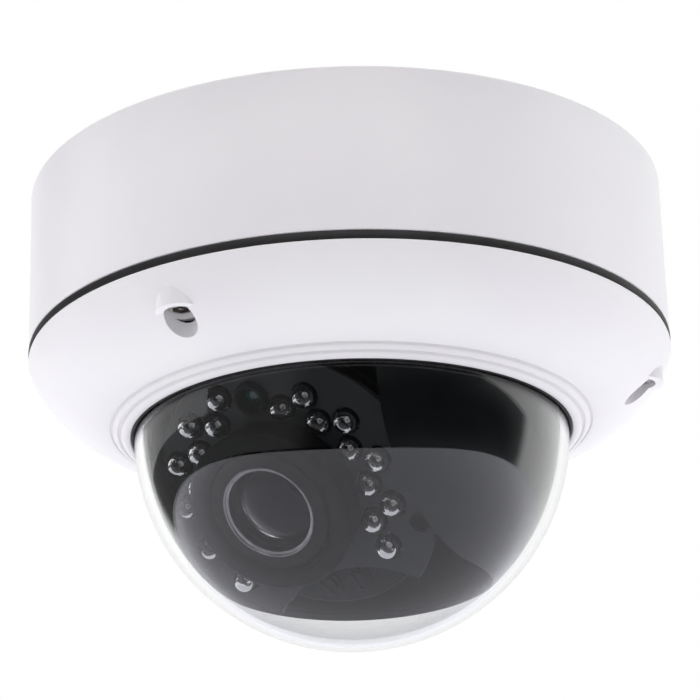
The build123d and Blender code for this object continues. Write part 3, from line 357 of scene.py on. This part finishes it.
white_paint = finish(
    "white_paint", IOR=1.5,
    colour=lambda p: p.noise(22.0).between(0.3, 0.7).blend((0.83, 0.822, 0.84), (0.86, 0.857, 0.868)),
    rough=lambda p: 0.33 + 0.12 * p.noise(60.0),
    relief=lambda p: 0.7 * p.noise(900.0, 2.0) + 0.3 * p.noise(4200.0, 2.0), depth=0.00004)
conduit_turn = Matrix.Translation((0, 0, CONDUIT_Z * MM)) @ Matrix.Rotation(radians(-90), 4, "X")
recess = drums([(0, 0)], PLUG_RECESS_R, PLUG_RECESS_Y, 80, 64)
recess.transform(conduit_turn)
entry = drums([(0, 0)], CONDUIT_R, 60, 80, 64)
entry.transform(conduit_turn)
base = carve(
    turned([(GROMMET_HOLE, 0)] + arc((BASE_TOP_R - 1.2, -1.2), 1.2, 90, 0, 6)
           + arc((BASE_RIM_R - 0.35, 0.35 - BASE_DEPTH), 0.35, 0, -90, 3)
           + [(BASE_RIM_R - WALL, -BASE_DEPTH), (BASE_TOP_R - WALL, -BACK - 1.0),
              (BASE_TOP_R - WALL - 1.0, -BACK), (GROMMET_HOLE, -BACK)], 256),
    ("UNION", drums(screw_spots, BOSS_R, -BASE_DEPTH + 0.1, -1.5)),
    ("UNION", drums(around(PILLAR_CIRCLE, 0, 90, 180, 270), PILLAR_R, -14, -1.5)),
    ("DIFFERENCE", drums(around(FIXING_CIRCLE, 45, 135, 225, 315), FIXING_R, -10, 10)),
    ("DIFFERENCE", drums(screw_spots, BOSS_HOLE_R, -BASE_DEPTH - 1, -BASE_DEPTH + 9)),
    ("DIFFERENCE", recess),
    ("DIFFERENCE", entry),
)
fitted("base_shell", base, "base", white_paint, stands_for=["base_housing"])


def dress(material, *names):
    """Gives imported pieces, whose shape stays as it is, their finish."""
    for name in names:
        for slot in nodes[name].material_slots:
            slot.material = material


# ------------------------------------------------------------------ cable grommet, conduit plug, inserts
# The lead enters through a rubber grommet in the back.  A slotted plastic plug with a rubber washer
# closes the side entry, and brass inserts in the bosses take the cover screws.
black_rubber = finish(
    "black_rubber", IOR=1.5,
    colour=lambda p: p.noise(120.0, 4.0).between(0.3, 0.7).blend(
        (0.011, 0.011, 0.012), (0.017, 0.017, 0.018)),
    rough=lambda p: 0.48 + 0.15 * p.noise(400.0),
    relief=lambda p: p.noise(2500.0), depth=0.00003)
white_plastic = finish(
    "white_plastic", IOR=1.46,
    colour=lambda p: p.noise(30.0).between(0.3, 0.7).blend((0.8, 0.8, 0.8), (0.84, 0.84, 0.845)),
    rough=lambda p: 0.28 + 0.1 * p.noise(150.0),
    relief=lambda p: p.noise(1800.0, 2.0), depth=0.00001)
brass = finish(
    "brass", Metallic=1.0,
    colour=lambda p: p.noise(400.0).between(0.3, 0.7).blend((0.68, 0.5, 0.22), (0.76, 0.58, 0.3)),
    rough=lambda p: 0.24 + 0.14 * p.noise(900.0))
dress(black_rubber, "cable_grommet", "conduit_washer")
dress(white_plastic, "conduit_plug")
dress(brass, "thread_inserts")

# ------------------------------------------------------------------ body gasket
# Black EPDM rubber ring with a rounded outer edge, moulded in one piece.  The base and the cover
# squeeze it between them when the cover screws are tightened.
COVER_TOP = -40.04
GASKET_IN = 67.0
GASKET_EDGE = 0.5
GASKET_BEND = 72.0
gasket = turned(
    [(GASKET_IN, -BASE_DEPTH)]
    + arc((GASKET_BEND, -BASE_DEPTH - GASKET_EDGE), GASKET_EDGE, 90, 0, 3)
    + arc((GASKET_BEND, COVER_TOP + GASKET_EDGE), GASKET_EDGE, 0, -90, 3)
    + [(GASKET_IN, COVER_TOP)], 256)
fitted("gasket_ring", gasket, "base", black_rubber, stands_for=["body_gasket"])

# ------------------------------------------------------------------ cover
# Die-cast domed cover in the same white coat: a rounded shoulder, two fine steps round the mouth, and
# three deep recesses for the screws.
SHOULDER_R = 27.13
SHOULDER = (47.67, -29.57)
STEP_ONE = 54.2
STEP_TWO = 52.3
LIP_Z = -58.14
MOUTH_R = 49.48
SEAT_Z = -52.6
RECESS_R = 3.6
RECESS_TOP = -44.5


def on_shoulder(radius):
    """Angle on the shoulder's arc at a radius, in degrees."""
    reach = radius - SHOULDER[0]
    return degrees(atan2(-sqrt(SHOULDER_R ** 2 - reach ** 2), reach))


step_z = SHOULDER_R * sin(radians(on_shoulder(STEP_ONE))) + SHOULDER[1]
cover = carve(
    turned(
        [(68.5, COVER_TOP), (72.0, COVER_TOP), (72.35, COVER_TOP - 0.1)]
        + arc(SHOULDER, SHOULDER_R, on_shoulder(72.5), on_shoulder(STEP_ONE + 0.25), 30)
        + [(STEP_ONE, step_z + 0.1), (STEP_ONE - 0.1, step_z + 0.5), (STEP_ONE - 0.5, step_z + 0.55),
           (STEP_ONE - 0.58, step_z - 0.2), (STEP_ONE - 0.9, step_z - 0.62), (STEP_TWO + 0.35, -57.0),
           (STEP_TWO + 0.02, -56.95), (STEP_TWO - 0.1, -56.6), (STEP_TWO - 0.48, -56.55),
           (STEP_TWO - 0.56, -57.25), (STEP_TWO - 0.85, -57.6), (50.6, LIP_Z + 0.02)]
        + arc((MOUTH_R + 0.45, LIP_Z + 0.45), 0.45, -90, -180, 4)
        + [(MOUTH_R, SEAT_Z), (54.5, SEAT_Z)] + arc(SHOULDER, SHOULDER_R - 2.8, -74, -26, 12), 256),
    ("UNION", drums(screw_spots, RECESS_R + 1.8, RECESS_TOP - 4, COVER_TOP - 0.05)),
    ("DIFFERENCE", drums(screw_spots, RECESS_R, -60, RECESS_TOP, 64)),
    ("DIFFERENCE", drums(screw_spots, 2.2, -60, -30)),
)
fitted("cover_shell", cover, "base", white_paint, stands_for=["dome_cover"])

# ------------------------------------------------------------------ cover screws
# Stainless security screws with a pinned hexagon socket, turned from bar.  Each is tightened onto a thin
# rubber seal, deep in its recess.
HEAD_R = 3.1
HEAD_TOP = RECESS_TOP - 0.6
HEAD_LOW = HEAD_TOP - 2.8
stainless = finish(
    "stainless", Metallic=1.0,
    colour=lambda p: p.noise(500.0).between(0.3, 0.7).blend((0.46, 0.42, 0.4), (0.62, 0.6, 0.58)),
    rough=lambda p: 0.22 + 0.2 * p.noise(1400.0),
    relief=lambda p: p.noise(3000.0, 2.0), depth=0.00001)
for number, (x, y) in enumerate(screw_spots, 1):
    screw = carve(
        turned([(0, HEAD_TOP), (HEAD_R, HEAD_TOP)]
               + arc((HEAD_R - 0.9, HEAD_LOW + 0.9), 0.9, 0, -90, 6) + [(0, HEAD_LOW)], 48, closed=False),
        ("DIFFERENCE", drums([(0, 0)], 1.9, HEAD_LOW - 1, HEAD_LOW + 1.6, 6)),
        ("UNION", drums([(0, 0)], 0.55, HEAD_LOW + 0.15, HEAD_LOW + 1.8, 20)),
        ("UNION", drums([(0, 0)], 2.0, RECESS_TOP - 1.0, -30, 24)),
    )
    bmesh.ops.translate(screw, verts=screw.verts, vec=(x * MM, y * MM, 0))
    piece = fitted(f"cover_screw_{number}", screw, "base", stainless)
    if number == 1:
        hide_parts("cover_screws")
dress(black_rubber, "screw_seals")

# ------------------------------------------------------------------ bubble seal
# Thin black rubber lip, moulded in one piece and pressed in between the cover's mouth and the bubble.
# Only its rounded edge shows.
SEAL_IN = 48.84
SEAL_LOW = -57.9
seal = turned([(SEAL_IN, SEAT_Z), (SEAL_IN, SEAL_LOW)] + arc((49.16, SEAL_LOW), 0.3, 180, 360, 5)
              + [(MOUTH_R, SEAT_Z)], 256)
fitted("seal_lip", seal, "base", black_rubber, stands_for=["bubble_seal"])

# ------------------------------------------------------------------ bubble
# Clear injection-moulded polycarbonate, just under 2 mm thick and polished, with a flange that a steel
# ring and six screws clamp into the cover.
BUBBLE_R = 48.84
BUBBLE_IN = 46.94
BUBBLE_Z = -57.27
FLANGE_R = 54.0
FLANGE_LOW = -52.0
FLANGE_TOP = -50.0
clear_dome = finish(
    "clear_dome", IOR=1.585, Transmission_Weight=1.0,
    colour=lambda p: p.noise(30.0).between(0.3, 0.7).blend((0.965, 0.97, 0.975), (0.975, 0.98, 0.985)),
    rough=lambda p: 0.02 * p.noise(45.0),
    relief=lambda p: p.noise(40.0, 1.0), depth=0.00001)
bubble = turned(
    arc((0, BUBBLE_Z), BUBBLE_R, -90, 0, 48)
    + [(BUBBLE_R, FLANGE_LOW), (FLANGE_R, FLANGE_LOW), (FLANGE_R, FLANGE_TOP), (BUBBLE_IN, FLANGE_TOP)]
    + arc((0, BUBBLE_Z), BUBBLE_IN, 0, -90, 46), 192, closed=False)
fitted("bubble", bubble, "base", clear_dome, stands_for=["dome_bubble"])
zinc_steel = finish(
    "zinc_steel", Metallic=1.0,
    colour=lambda p: p.noise(180.0).between(0.3, 0.7).blend((0.52, 0.52, 0.53), (0.66, 0.66, 0.66)),
    rough=lambda p: 0.28 + 0.16 * p.noise(700.0),
    relief=lambda p: p.noise(2200.0, 2.0), depth=0.00001)
dress(zinc_steel, "bubble_clamp_ring", "clamp_ring_screws")

# ------------------------------------------------------------------ main board
# Green solder-masked board with its chips, capacitors and a screw terminal block.  Screws hold it on
# brass standoffs in the base.
board_green = finish(
    "board_green", IOR=1.5,
    colour=lambda p: p.noise(90.0, 4.0).between(0.35, 0.65).blend((0.02, 0.11, 0.06), (0.04, 0.18, 0.1)),
    rough=lambda p: 0.3 + 0.12 * p.noise(300.0),
    relief=lambda p: p.noise(1500.0, 2.0), depth=0.00002)
chip_black = finish(
    "chip_black", IOR=1.5,
    colour=lambda p: p.noise(300.0).between(0.3, 0.7).blend((0.025, 0.025, 0.027), (0.04, 0.04, 0.043)),
    rough=lambda p: 0.42 + 0.15 * p.noise(900.0),
    relief=lambda p: p.noise(4000.0, 2.0), depth=0.00001)
terminal_green = finish(
    "terminal_green", IOR=1.48,
    colour=lambda p: p.noise(100.0).between(0.3, 0.7).blend((0.04, 0.28, 0.13), (0.06, 0.36, 0.18)),
    rough=lambda p: 0.3 + 0.1 * p.noise(500.0))
dress(board_green, "main_board", "sensor_board")
dress(chip_black, "board_components", "board_socket", "image_sensor")
dress(terminal_green, "terminal_block")
dress(brass, "board_standoffs")
dress(zinc_steel, "board_screws")

# ------------------------------------------------------------------ bracket
# A zinc plated plate holds a moulded turntable; a pressed steel yoke below it carries the tilt ring
# between two knurled nuts.
dark_steel = finish(
    "dark_steel", Metallic=1.0,
    colour=lambda p: p.noise(200.0).between(0.3, 0.7).blend((0.1, 0.1, 0.105), (0.18, 0.18, 0.185)),
    rough=lambda p: 0.32 + 0.14 * p.noise(800.0),
    relief=lambda p: p.noise(2500.0, 2.0), depth=0.00001)
head_black = finish(
    "head_black", IOR=1.3,
    colour=lambda p: p.noise(150.0).between(0.3, 0.7).blend((0.009, 0.011, 0.013), (0.014, 0.017, 0.02)),
    rough=lambda p: 0.45 + 0.15 * p.noise(700.0),
    relief=lambda p: p.noise(2600.0, 2.0), depth=0.00002)
dress(zinc_steel, "gimbal_plate", "gimbal_plate_screws", "pan_retainer_screws", "yoke_screws",
      "liner_screws", "roll_retainer_screws", "sensor_board_screws", "led_plate_screws")
dress(dark_steel, "yoke", "pan_lock_screw", "tilt_knob_right", "tilt_knob_left", "zoom_lock_screw",
      "focus_lock_screw")
dress(brass, "tilt_washers", "led_posts")
dress(head_black, "pan_turntable", "pan_retainer", "tilt_ring", "lens_holder", "roll_retainer", "lens_mount")

# ------------------------------------------------------------------ inner liner
# Thin dark plastic shell, moulded in one piece and screwed to the yoke, so that it pans with the lens.
# The lens tilts along its parallel-sided slot.
LINER_R = 46.4
LINER_IN = 45.1
LINER_TOP = -46.0
SLOT_HALF = 29.7
liner_black = finish(
    "liner_black", IOR=1.5,
    colour=lambda p: p.noise(60.0).between(0.3, 0.7).blend((0.001, 0.004, 0.006), (0.002, 0.006, 0.008)),
    rough=lambda p: 0.26 + 0.1 * p.noise(90.0),
    relief=lambda p: p.noise(700.0, 2.0), depth=0.00001)
side = Vector(joints["tilt"]["axis"])
pan_place = Matrix.Rotation(atan2(side.y, side.x), 4, "Z")
mouth = bmesh.new()
bmesh.ops.create_cube(mouth, size=MM, matrix=Matrix.Translation((0, -30 * MM, -75 * MM))
                      @ Matrix.Diagonal((2 * SLOT_HALF, 60, 70, 1)))
liner = carve(
    turned([(LINER_R, LINER_TOP)] + arc((0, BUBBLE_Z), LINER_R, 0, -90, 40)
           + arc((0, BUBBLE_Z), LINER_IN, -90, 0, 40) + [(LINER_IN, LINER_TOP)], 160),
    ("DIFFERENCE", drums([(0, 0)], SLOT_HALF, -110, -40, 128)),
    ("DIFFERENCE", mouth),
)
fitted("liner_shell", liner, "pan", liner_black, place=pan_place, stands_for=["inner_liner"])

# ------------------------------------------------------------------ LED tray and adjusters
# Moulded tray on three posts behind the lens.  Two slotted adjusters sit in raised rings where the
# plate in front is cut away.
lens_axis = Vector(joints["roll"]["axis"])
head_up = lens_axis.cross(side)
gimbal = Vector(joints["tilt"]["pos_m"])
LENS_OFFSET = -3.0
ROLL_REST = -0.56


def set_in(origin):
    """Places a shape drawn with x to the head's right, y up and z along the lens."""
    return Matrix((
        (side.x, head_up.x, lens_axis.x, origin.x),
        (side.y, head_up.y, lens_axis.y, origin.y),
        (side.z, head_up.z, lens_axis.z, origin.z),
        (0, 0, 0, 1),
    ))


head_place = set_in(gimbal)
lens_place = set_in(gimbal + LENS_OFFSET * MM * side)


def clock(radius, *angles):
    """Points round the lens at clockwise angles from its top."""
    return [(radius * sin(radians(angle + ROLL_REST)), radius * cos(radians(angle + ROLL_REST)))
            for angle in angles]


def add(bm, other):
    """Adds another shape to a shape."""
    mesh = bpy.data.meshes.new("other")
    other.to_mesh(mesh)
    other.free()
    bm.from_mesh(mesh)
    bpy.data.meshes.remove(mesh)


TRAY_D = 22.5
BOARD_D = 24.0
TRAY_R = 30.0
adjuster_spots = [(1.9, -24.8), (-6.0, -24.9)]
tray = carve(
    turned([(0, TRAY_D), (TRAY_R - 0.3, TRAY_D), (TRAY_R, TRAY_D + 0.3), (TRAY_R, BOARD_D - 0.3),
            (TRAY_R - 0.3, BOARD_D), (0, BOARD_D)], 128, closed=False),
    ("UNION", drums(adjuster_spots, 3.2, TRAY_D + 0.5, BOARD_D + 0.7)),
    ("DIFFERENCE", drums(adjuster_spots, 2.5, BOARD_D, BOARD_D + 2)),
    ("DIFFERENCE", drums([(LENS_OFFSET, 0)], 16.5, 20, 30, 96)),
)
fitted("led_tray_moulded", tray, "roll", head_black, place=head_place, stands_for=["led_tray"])
adjusters = bmesh.new()
for x, y, slot_turn in ((*adjuster_spots[0], 12), (*adjuster_spots[1], 28)):
    blade = bmesh.new()
    bmesh.ops.create_cube(blade, size=MM, matrix=Matrix.Translation((0, 0, (BOARD_D + 1.3) * MM))
                          @ Matrix.Rotation(radians(slot_turn), 4, "Z") @ Matrix.Diagonal((0.7, 6, 1.6, 1)))
    screw = carve(
        turned([(0, BOARD_D - 3), (1.2, BOARD_D - 3), (1.2, BOARD_D + 0.02), (2.2, BOARD_D + 0.02),
                (2.2, BOARD_D + 1.1), (2.0, BOARD_D + 1.3), (0, BOARD_D + 1.3)], 40, closed=False),
        ("DIFFERENCE", blade))
    bmesh.ops.translate(screw, verts=screw.verts, vec=(x * MM, y * MM, 0))
    add(adjusters, screw)
fitted("adjuster_screws", adjusters, "roll", head_black, place=head_place,
       stands_for=["led_adjusters"])

# ------------------------------------------------------------------ LED board
# Black solder-masked glass epoxy board that carries the LEDs and the light sensor.  It lies on the
# tray, behind the LED plate.
board_black = finish(
    "board_black", IOR=1.5,
    colour=lambda p: p.noise(120.0).between(0.3, 0.7).blend((0.012, 0.016, 0.015), (0.02, 0.024, 0.023)),
    rough=lambda p: 0.34 + 0.12 * p.noise(400.0))
dress(board_black, "led_board")

# ------------------------------------------------------------------ LEDs
# Twenty-one clear 5 mm infrared LEDs: a domed epoxy body with a collar, and inside it a silvered cup
# with the chip, its post, and the second post whose wire reaches the chip.
LED_R = 2.5
COLLAR_R = 2.9
LED_BASE = 25.2
LED_TIP = 33.0
LED_OUTER_R = 25.3
LED_INNER_R = 20.9
LED_STEP = 24.0
led_spots = (clock(LED_OUTER_R, *[LED_STEP * (k + 0.5) for k in (-6, -5, -4, -3, -2, -1, 1, 2, 3, 4, 5)])
             + clock(LED_INNER_R, *[LED_STEP * k for k in (-5, -4, -3, -2, -1, 1, 2, 3, 4, 5)]))
led_clear = finish(
    "led_clear", IOR=1.53, Transmission_Weight=1.0,
    colour=lambda p: p.noise(200.0).between(0.3, 0.7).blend((0.93, 0.945, 0.955), (0.96, 0.97, 0.98)),
    rough=lambda p: 0.03 * p.noise(300.0))
silver = finish(
    "silver", Metallic=0.8,
    colour=lambda p: p.noise(900.0).between(0.3, 0.7).blend((0.9, 0.89, 0.87), (0.98, 0.97, 0.96)),
    rough=lambda p: 0.16 + 0.2 * p.noise(1500.0),
    relief=lambda p: p.noise(1800.0), depth=0.00004)


def spread(shape, spots, twist=0.0):
    """Copies of a shape at several places, each turned on from the last by the twist."""
    mesh = bpy.data.meshes.new("one")
    shape.to_mesh(mesh)
    shape.free()
    many = bmesh.new()
    for number, (x, y) in enumerate(spots):
        before = len(many.verts)
        many.from_mesh(mesh)
        many.verts.ensure_lookup_table()
        placed = Matrix.Translation((x * MM, y * MM, 0)) @ Matrix.Rotation(radians(number * twist), 4, "Z")
        bmesh.ops.transform(many, matrix=placed, verts=many.verts[before:])
    bpy.data.meshes.remove(mesh)
    return many


dome = turned(
    [(0, LED_BASE), (COLLAR_R, LED_BASE), (COLLAR_R, LED_BASE + 0.9), (COLLAR_R - 0.1, LED_BASE + 1),
     (LED_R, LED_BASE + 1)]
    + arc((0, LED_TIP - LED_R), LED_R, 0, 90, 14), 40, closed=False)
fitted("led_domes", spread(dome, led_spots), "roll", led_clear, place=lens_place,
       stands_for=["leds"])
CUP_D = 28.6
cup = turned([(0, CUP_D - 1.3), (0.95, CUP_D - 1.3), (1.3, CUP_D), (1.15, CUP_D), (0.55, CUP_D - 0.75),
              (0, CUP_D - 0.75)], 32, closed=False)
POST_LOW = LED_BASE + 0.05
POST_TWIST = 137.5
for x, width, top in ((0.35, 0.55, CUP_D - 1.2), (-1.45, 0.5, CUP_D - 0.1)):
    post = bmesh.new()
    middle = Matrix.Translation((x * MM, 0, (POST_LOW + top) / 2 * MM))
    bmesh.ops.create_cube(post, size=MM, matrix=middle @ Matrix.Diagonal((width, 0.5, top - POST_LOW, 1)))
    add(cup, post)
fitted("led_cups", spread(cup, led_spots, twist=POST_TWIST), "roll", silver, place=lens_place,
       sharp=30)
chips = bmesh.new()
bmesh.ops.create_cube(chips, size=MM, matrix=Matrix.Translation((0, 0, (CUP_D - 0.66) * MM))
                      @ Matrix.Diagonal((0.36, 0.36, 0.18, 1)))
fitted("led_chips", spread(chips, led_spots, twist=POST_TWIST), "roll", chip_black,
       place=lens_place)

# ------------------------------------------------------------------ light sensor
# Black moulded tube that stands on the LED board in place of one LED, with a coated sensor bead at its
# bottom.
SENSOR_R = 3.6
SENSOR_TOP = 31.4
sensor_spot = (-0.8, 23.0)
sensor = turned([(0, LED_BASE), (SENSOR_R, LED_BASE)] + arc((SENSOR_R - 0.4, SENSOR_TOP - 0.4), 0.4, 0, 90, 4)
                + [(SENSOR_R - 0.8, SENSOR_TOP), (2.6, SENSOR_TOP - 0.5), (2.6, LED_BASE + 2.4),
                   (0, LED_BASE + 2.4)], 56, closed=False)
bmesh.ops.translate(sensor, verts=sensor.verts, vec=(sensor_spot[0] * MM, sensor_spot[1] * MM, 0))
fitted("light_sensor_tube", sensor, "roll", head_black, place=head_place,
       stands_for=["light_sensor"])
sensor_glass = finish(
    "sensor_glass", IOR=1.6, Coat_Weight=1.0, Coat_Roughness=0.03,
    colour=lambda p: p.noise(250.0).between(0.35, 0.65).blend((0.002, 0.03, 0.03), (0.004, 0.16, 0.15)),
    rough=lambda p: 0.12 + 0.1 * p.noise(400.0))
bead = turned([(0, LED_BASE + 2.3), (2.5, LED_BASE + 2.3), (2.5, LED_BASE + 3.0)]
              + arc((0, LED_BASE + 0.6), 3.5, 43, 90, 8), 48, closed=False)
bmesh.ops.translate(bead, verts=bead.verts, vec=(sensor_spot[0] * MM, sensor_spot[1] * MM, 0))
fitted("light_sensor_bead", bead, "roll", sensor_glass, place=head_place)

# ------------------------------------------------------------------ LED plate
# Dark satin plate in front of the board: the LEDs and the sensor stand in its holes, and its lower edge
# is cut away over the adjusters.
PLATE_D = 28.4
PLATE_T = 1.2
PLATE_R = 32.1
ARCH_R = 28.8
ARCH = (2.1, -48.6)
plate_grey = finish(
    "plate_grey", IOR=1.45,
    colour=lambda p: p.noise(80.0).between(0.3, 0.7).blend((0.034, 0.04, 0.044), (0.042, 0.048, 0.052)),
    rough=lambda p: 0.38 + 0.12 * p.noise(500.0),
    relief=lambda p: p.noise(2400.0, 2.0), depth=0.00002)
plate = carve(
    turned([(0, PLATE_D), (PLATE_R - 0.15, PLATE_D), (PLATE_R, PLATE_D + 0.15),
            (PLATE_R, PLATE_D + PLATE_T - 0.25), (PLATE_R - 0.25, PLATE_D + PLATE_T), (0, PLATE_D + PLATE_T)],
           160, closed=False),
    ("DIFFERENCE", drums([(LENS_OFFSET, 0)], 17.4, 20, 40, 96)),
    ("DIFFERENCE", drums([(x + LENS_OFFSET, y) for x, y in led_spots], 3.1, 20, 40, 40)),
    ("DIFFERENCE", drums([sensor_spot], SENSOR_R + 0.3, 20, 40, 56)),
    ("DIFFERENCE", drums([(25.3, -13.2)], 2.3, 20, 40, 32)),
    ("DIFFERENCE", drums([ARCH], ARCH_R, 20, 40, 128)),
)
plate_piece = fitted("led_plate_cut", plate, "roll", plate_grey, place=head_place,
                     stands_for=["led_plate"])
rounding = plate_piece.modifiers.new("rounding", "BEVEL")
rounding.width = 0.00014
rounding.segments = 2
rounding.limit_method = "ANGLE"
rounding.angle_limit = radians(50)

# ------------------------------------------------------------------ lens hood
# Soft rubber hood, moulded in one piece and pushed over the lens.  It keeps the LEDs' light out of the
# lens.
hood_rubber = finish(
    "hood_rubber", IOR=1.3,
    colour=lambda p: p.noise(200.0, 4.0).between(0.3, 0.7).blend(
        (0.010, 0.011, 0.012), (0.015, 0.016, 0.018)),
    rough=lambda p: 0.62 + 0.16 * p.noise(900.0),
    relief=lambda p: p.noise(3200.0, 3.0), depth=0.00004)
hood = turned([(15.2, LED_BASE), (17.0, LED_BASE), (17.1, 28.5), (17.25, 31), (18.35, 36.2)]
              + arc((17.9, 37.7), 0.7, -15, 35, 4) + arc((17.0, 38.6), 0.7, 45, 90, 3)
              + [(16.0, 39.35)] + arc((15.2, 38.7), 0.6, 90, 180, 5)
              + [(14.35, 37.6), (14.3, 29), (15.2, 28)], 128)
fitted("hood_ring", hood, "roll", hood_rubber, place=lens_place, stands_for=["lens_hood"])

# ------------------------------------------------------------------ front lens group
# Black anodised aluminium barrel whose rim slopes in to a thin bright ring.  It holds the coated front
# glass and the middle glass, and slides when the lens is focused.
GLASS_R = 9.6
lens_black = finish(
    "lens_black", IOR=1.3,
    colour=lambda p: p.noise(120.0).between(0.3, 0.7).blend((0.006, 0.006, 0.007), (0.010, 0.010, 0.012)),
    rough=lambda p: 0.36 + 0.12 * p.noise(800.0),
    relief=lambda p: p.noise(2800.0, 2.0), depth=0.00002)
rim = turned(
    [(5, 12), (11.15, 12), (11.15, 33.5), (13.7, 35), (13.7, 37.6)]
    + arc((13.3, 37.6), 0.4, 20, 90, 3)
    + [(13.0, 38.0), (10.62, 38.5), (10.62, 37.4), (GLASS_R, 37.4), (GLASS_R, 34), (8.6, 34),
       (6.5, 18.6), (6.5, 16), (5, 16)], 128)
fitted("front_rim", rim, "front_group", lens_black, place=lens_place,
       stands_for=["front_barrel"])
bright_ring = finish(
    "bright_ring", Metallic=1.0,
    colour=lambda p: p.noise(500.0).between(0.3, 0.7).blend((0.3, 0.3, 0.31), (0.4, 0.4, 0.41)),
    rough=lambda p: 0.2 + 0.1 * p.noise(900.0))
bezel = turned([(9.62, 37.45), (10.6, 37.45), (10.6, 38.5)] + arc((10.36, 38.5), 0.22, 0, 180, 6)
               + [(10.14, 38.2), (9.62, 38.0)], 128)
fitted("bezel_ring", bezel, "front_group", bright_ring, place=lens_place,
       stands_for=["front_bezel"])
lens_glass = finish(
    "lens_glass", IOR=1.2, Transmission_Weight=1.0, Specular_Tint=(0.9, 0.7, 1.0),
    colour=lambda p: p.noise(60.0).between(0.3, 0.7).blend((0.55, 0.5, 0.55), (0.6, 0.55, 0.6)),
    rough=lambda p: 0.01 * p.noise(80.0))


def lens_element(radius, rear_apex, rear_edge, front_edge, front_apex):
    """Profile of a glass between two spherical faces, given by their heights at axis and rim."""
    def face(apex, edge, steps=10):
        if apex == edge:
            return [(0, apex), (radius, edge)]
        bend = (radius ** 2 + (apex - edge) ** 2) / (2 * (apex - edge))
        reach = [radius * i / steps for i in range(steps + 1)]
        grow = 1 if bend > 0 else -1
        return [(r, apex - bend + grow * sqrt(bend ** 2 - r ** 2)) for r in reach]
    return face(front_apex, front_edge) + face(rear_apex, rear_edge)[::-1]


for name, body, stand, facts in (
    ("front_element", "front_group", "front_glass", (GLASS_R, 35.2, 34.0, 35.4, 38.2)),
    ("middle_element", "front_group", "middle_glass", (6.5, 16.6, 16.0, 17.0, 18.8)),
    ("rear_element", "roll", "rear_glass", (6.0, -3.4, -2.0, 1.4, 3.2)),
):
    glass = turned(lens_element(*facts), 96, closed=False)
    fitted(name, glass, body, lens_glass, place=lens_place, stands_for=[stand])

# ------------------------------------------------------------------ lens barrel and rings
# Black anodised aluminium barrel with its iris, and the knurled zoom and focus rings that turn on it,
# each with a lock screw.
dress(lens_black, "lens_barrel", "iris_plate", "zoom_ring", "focus_ring")
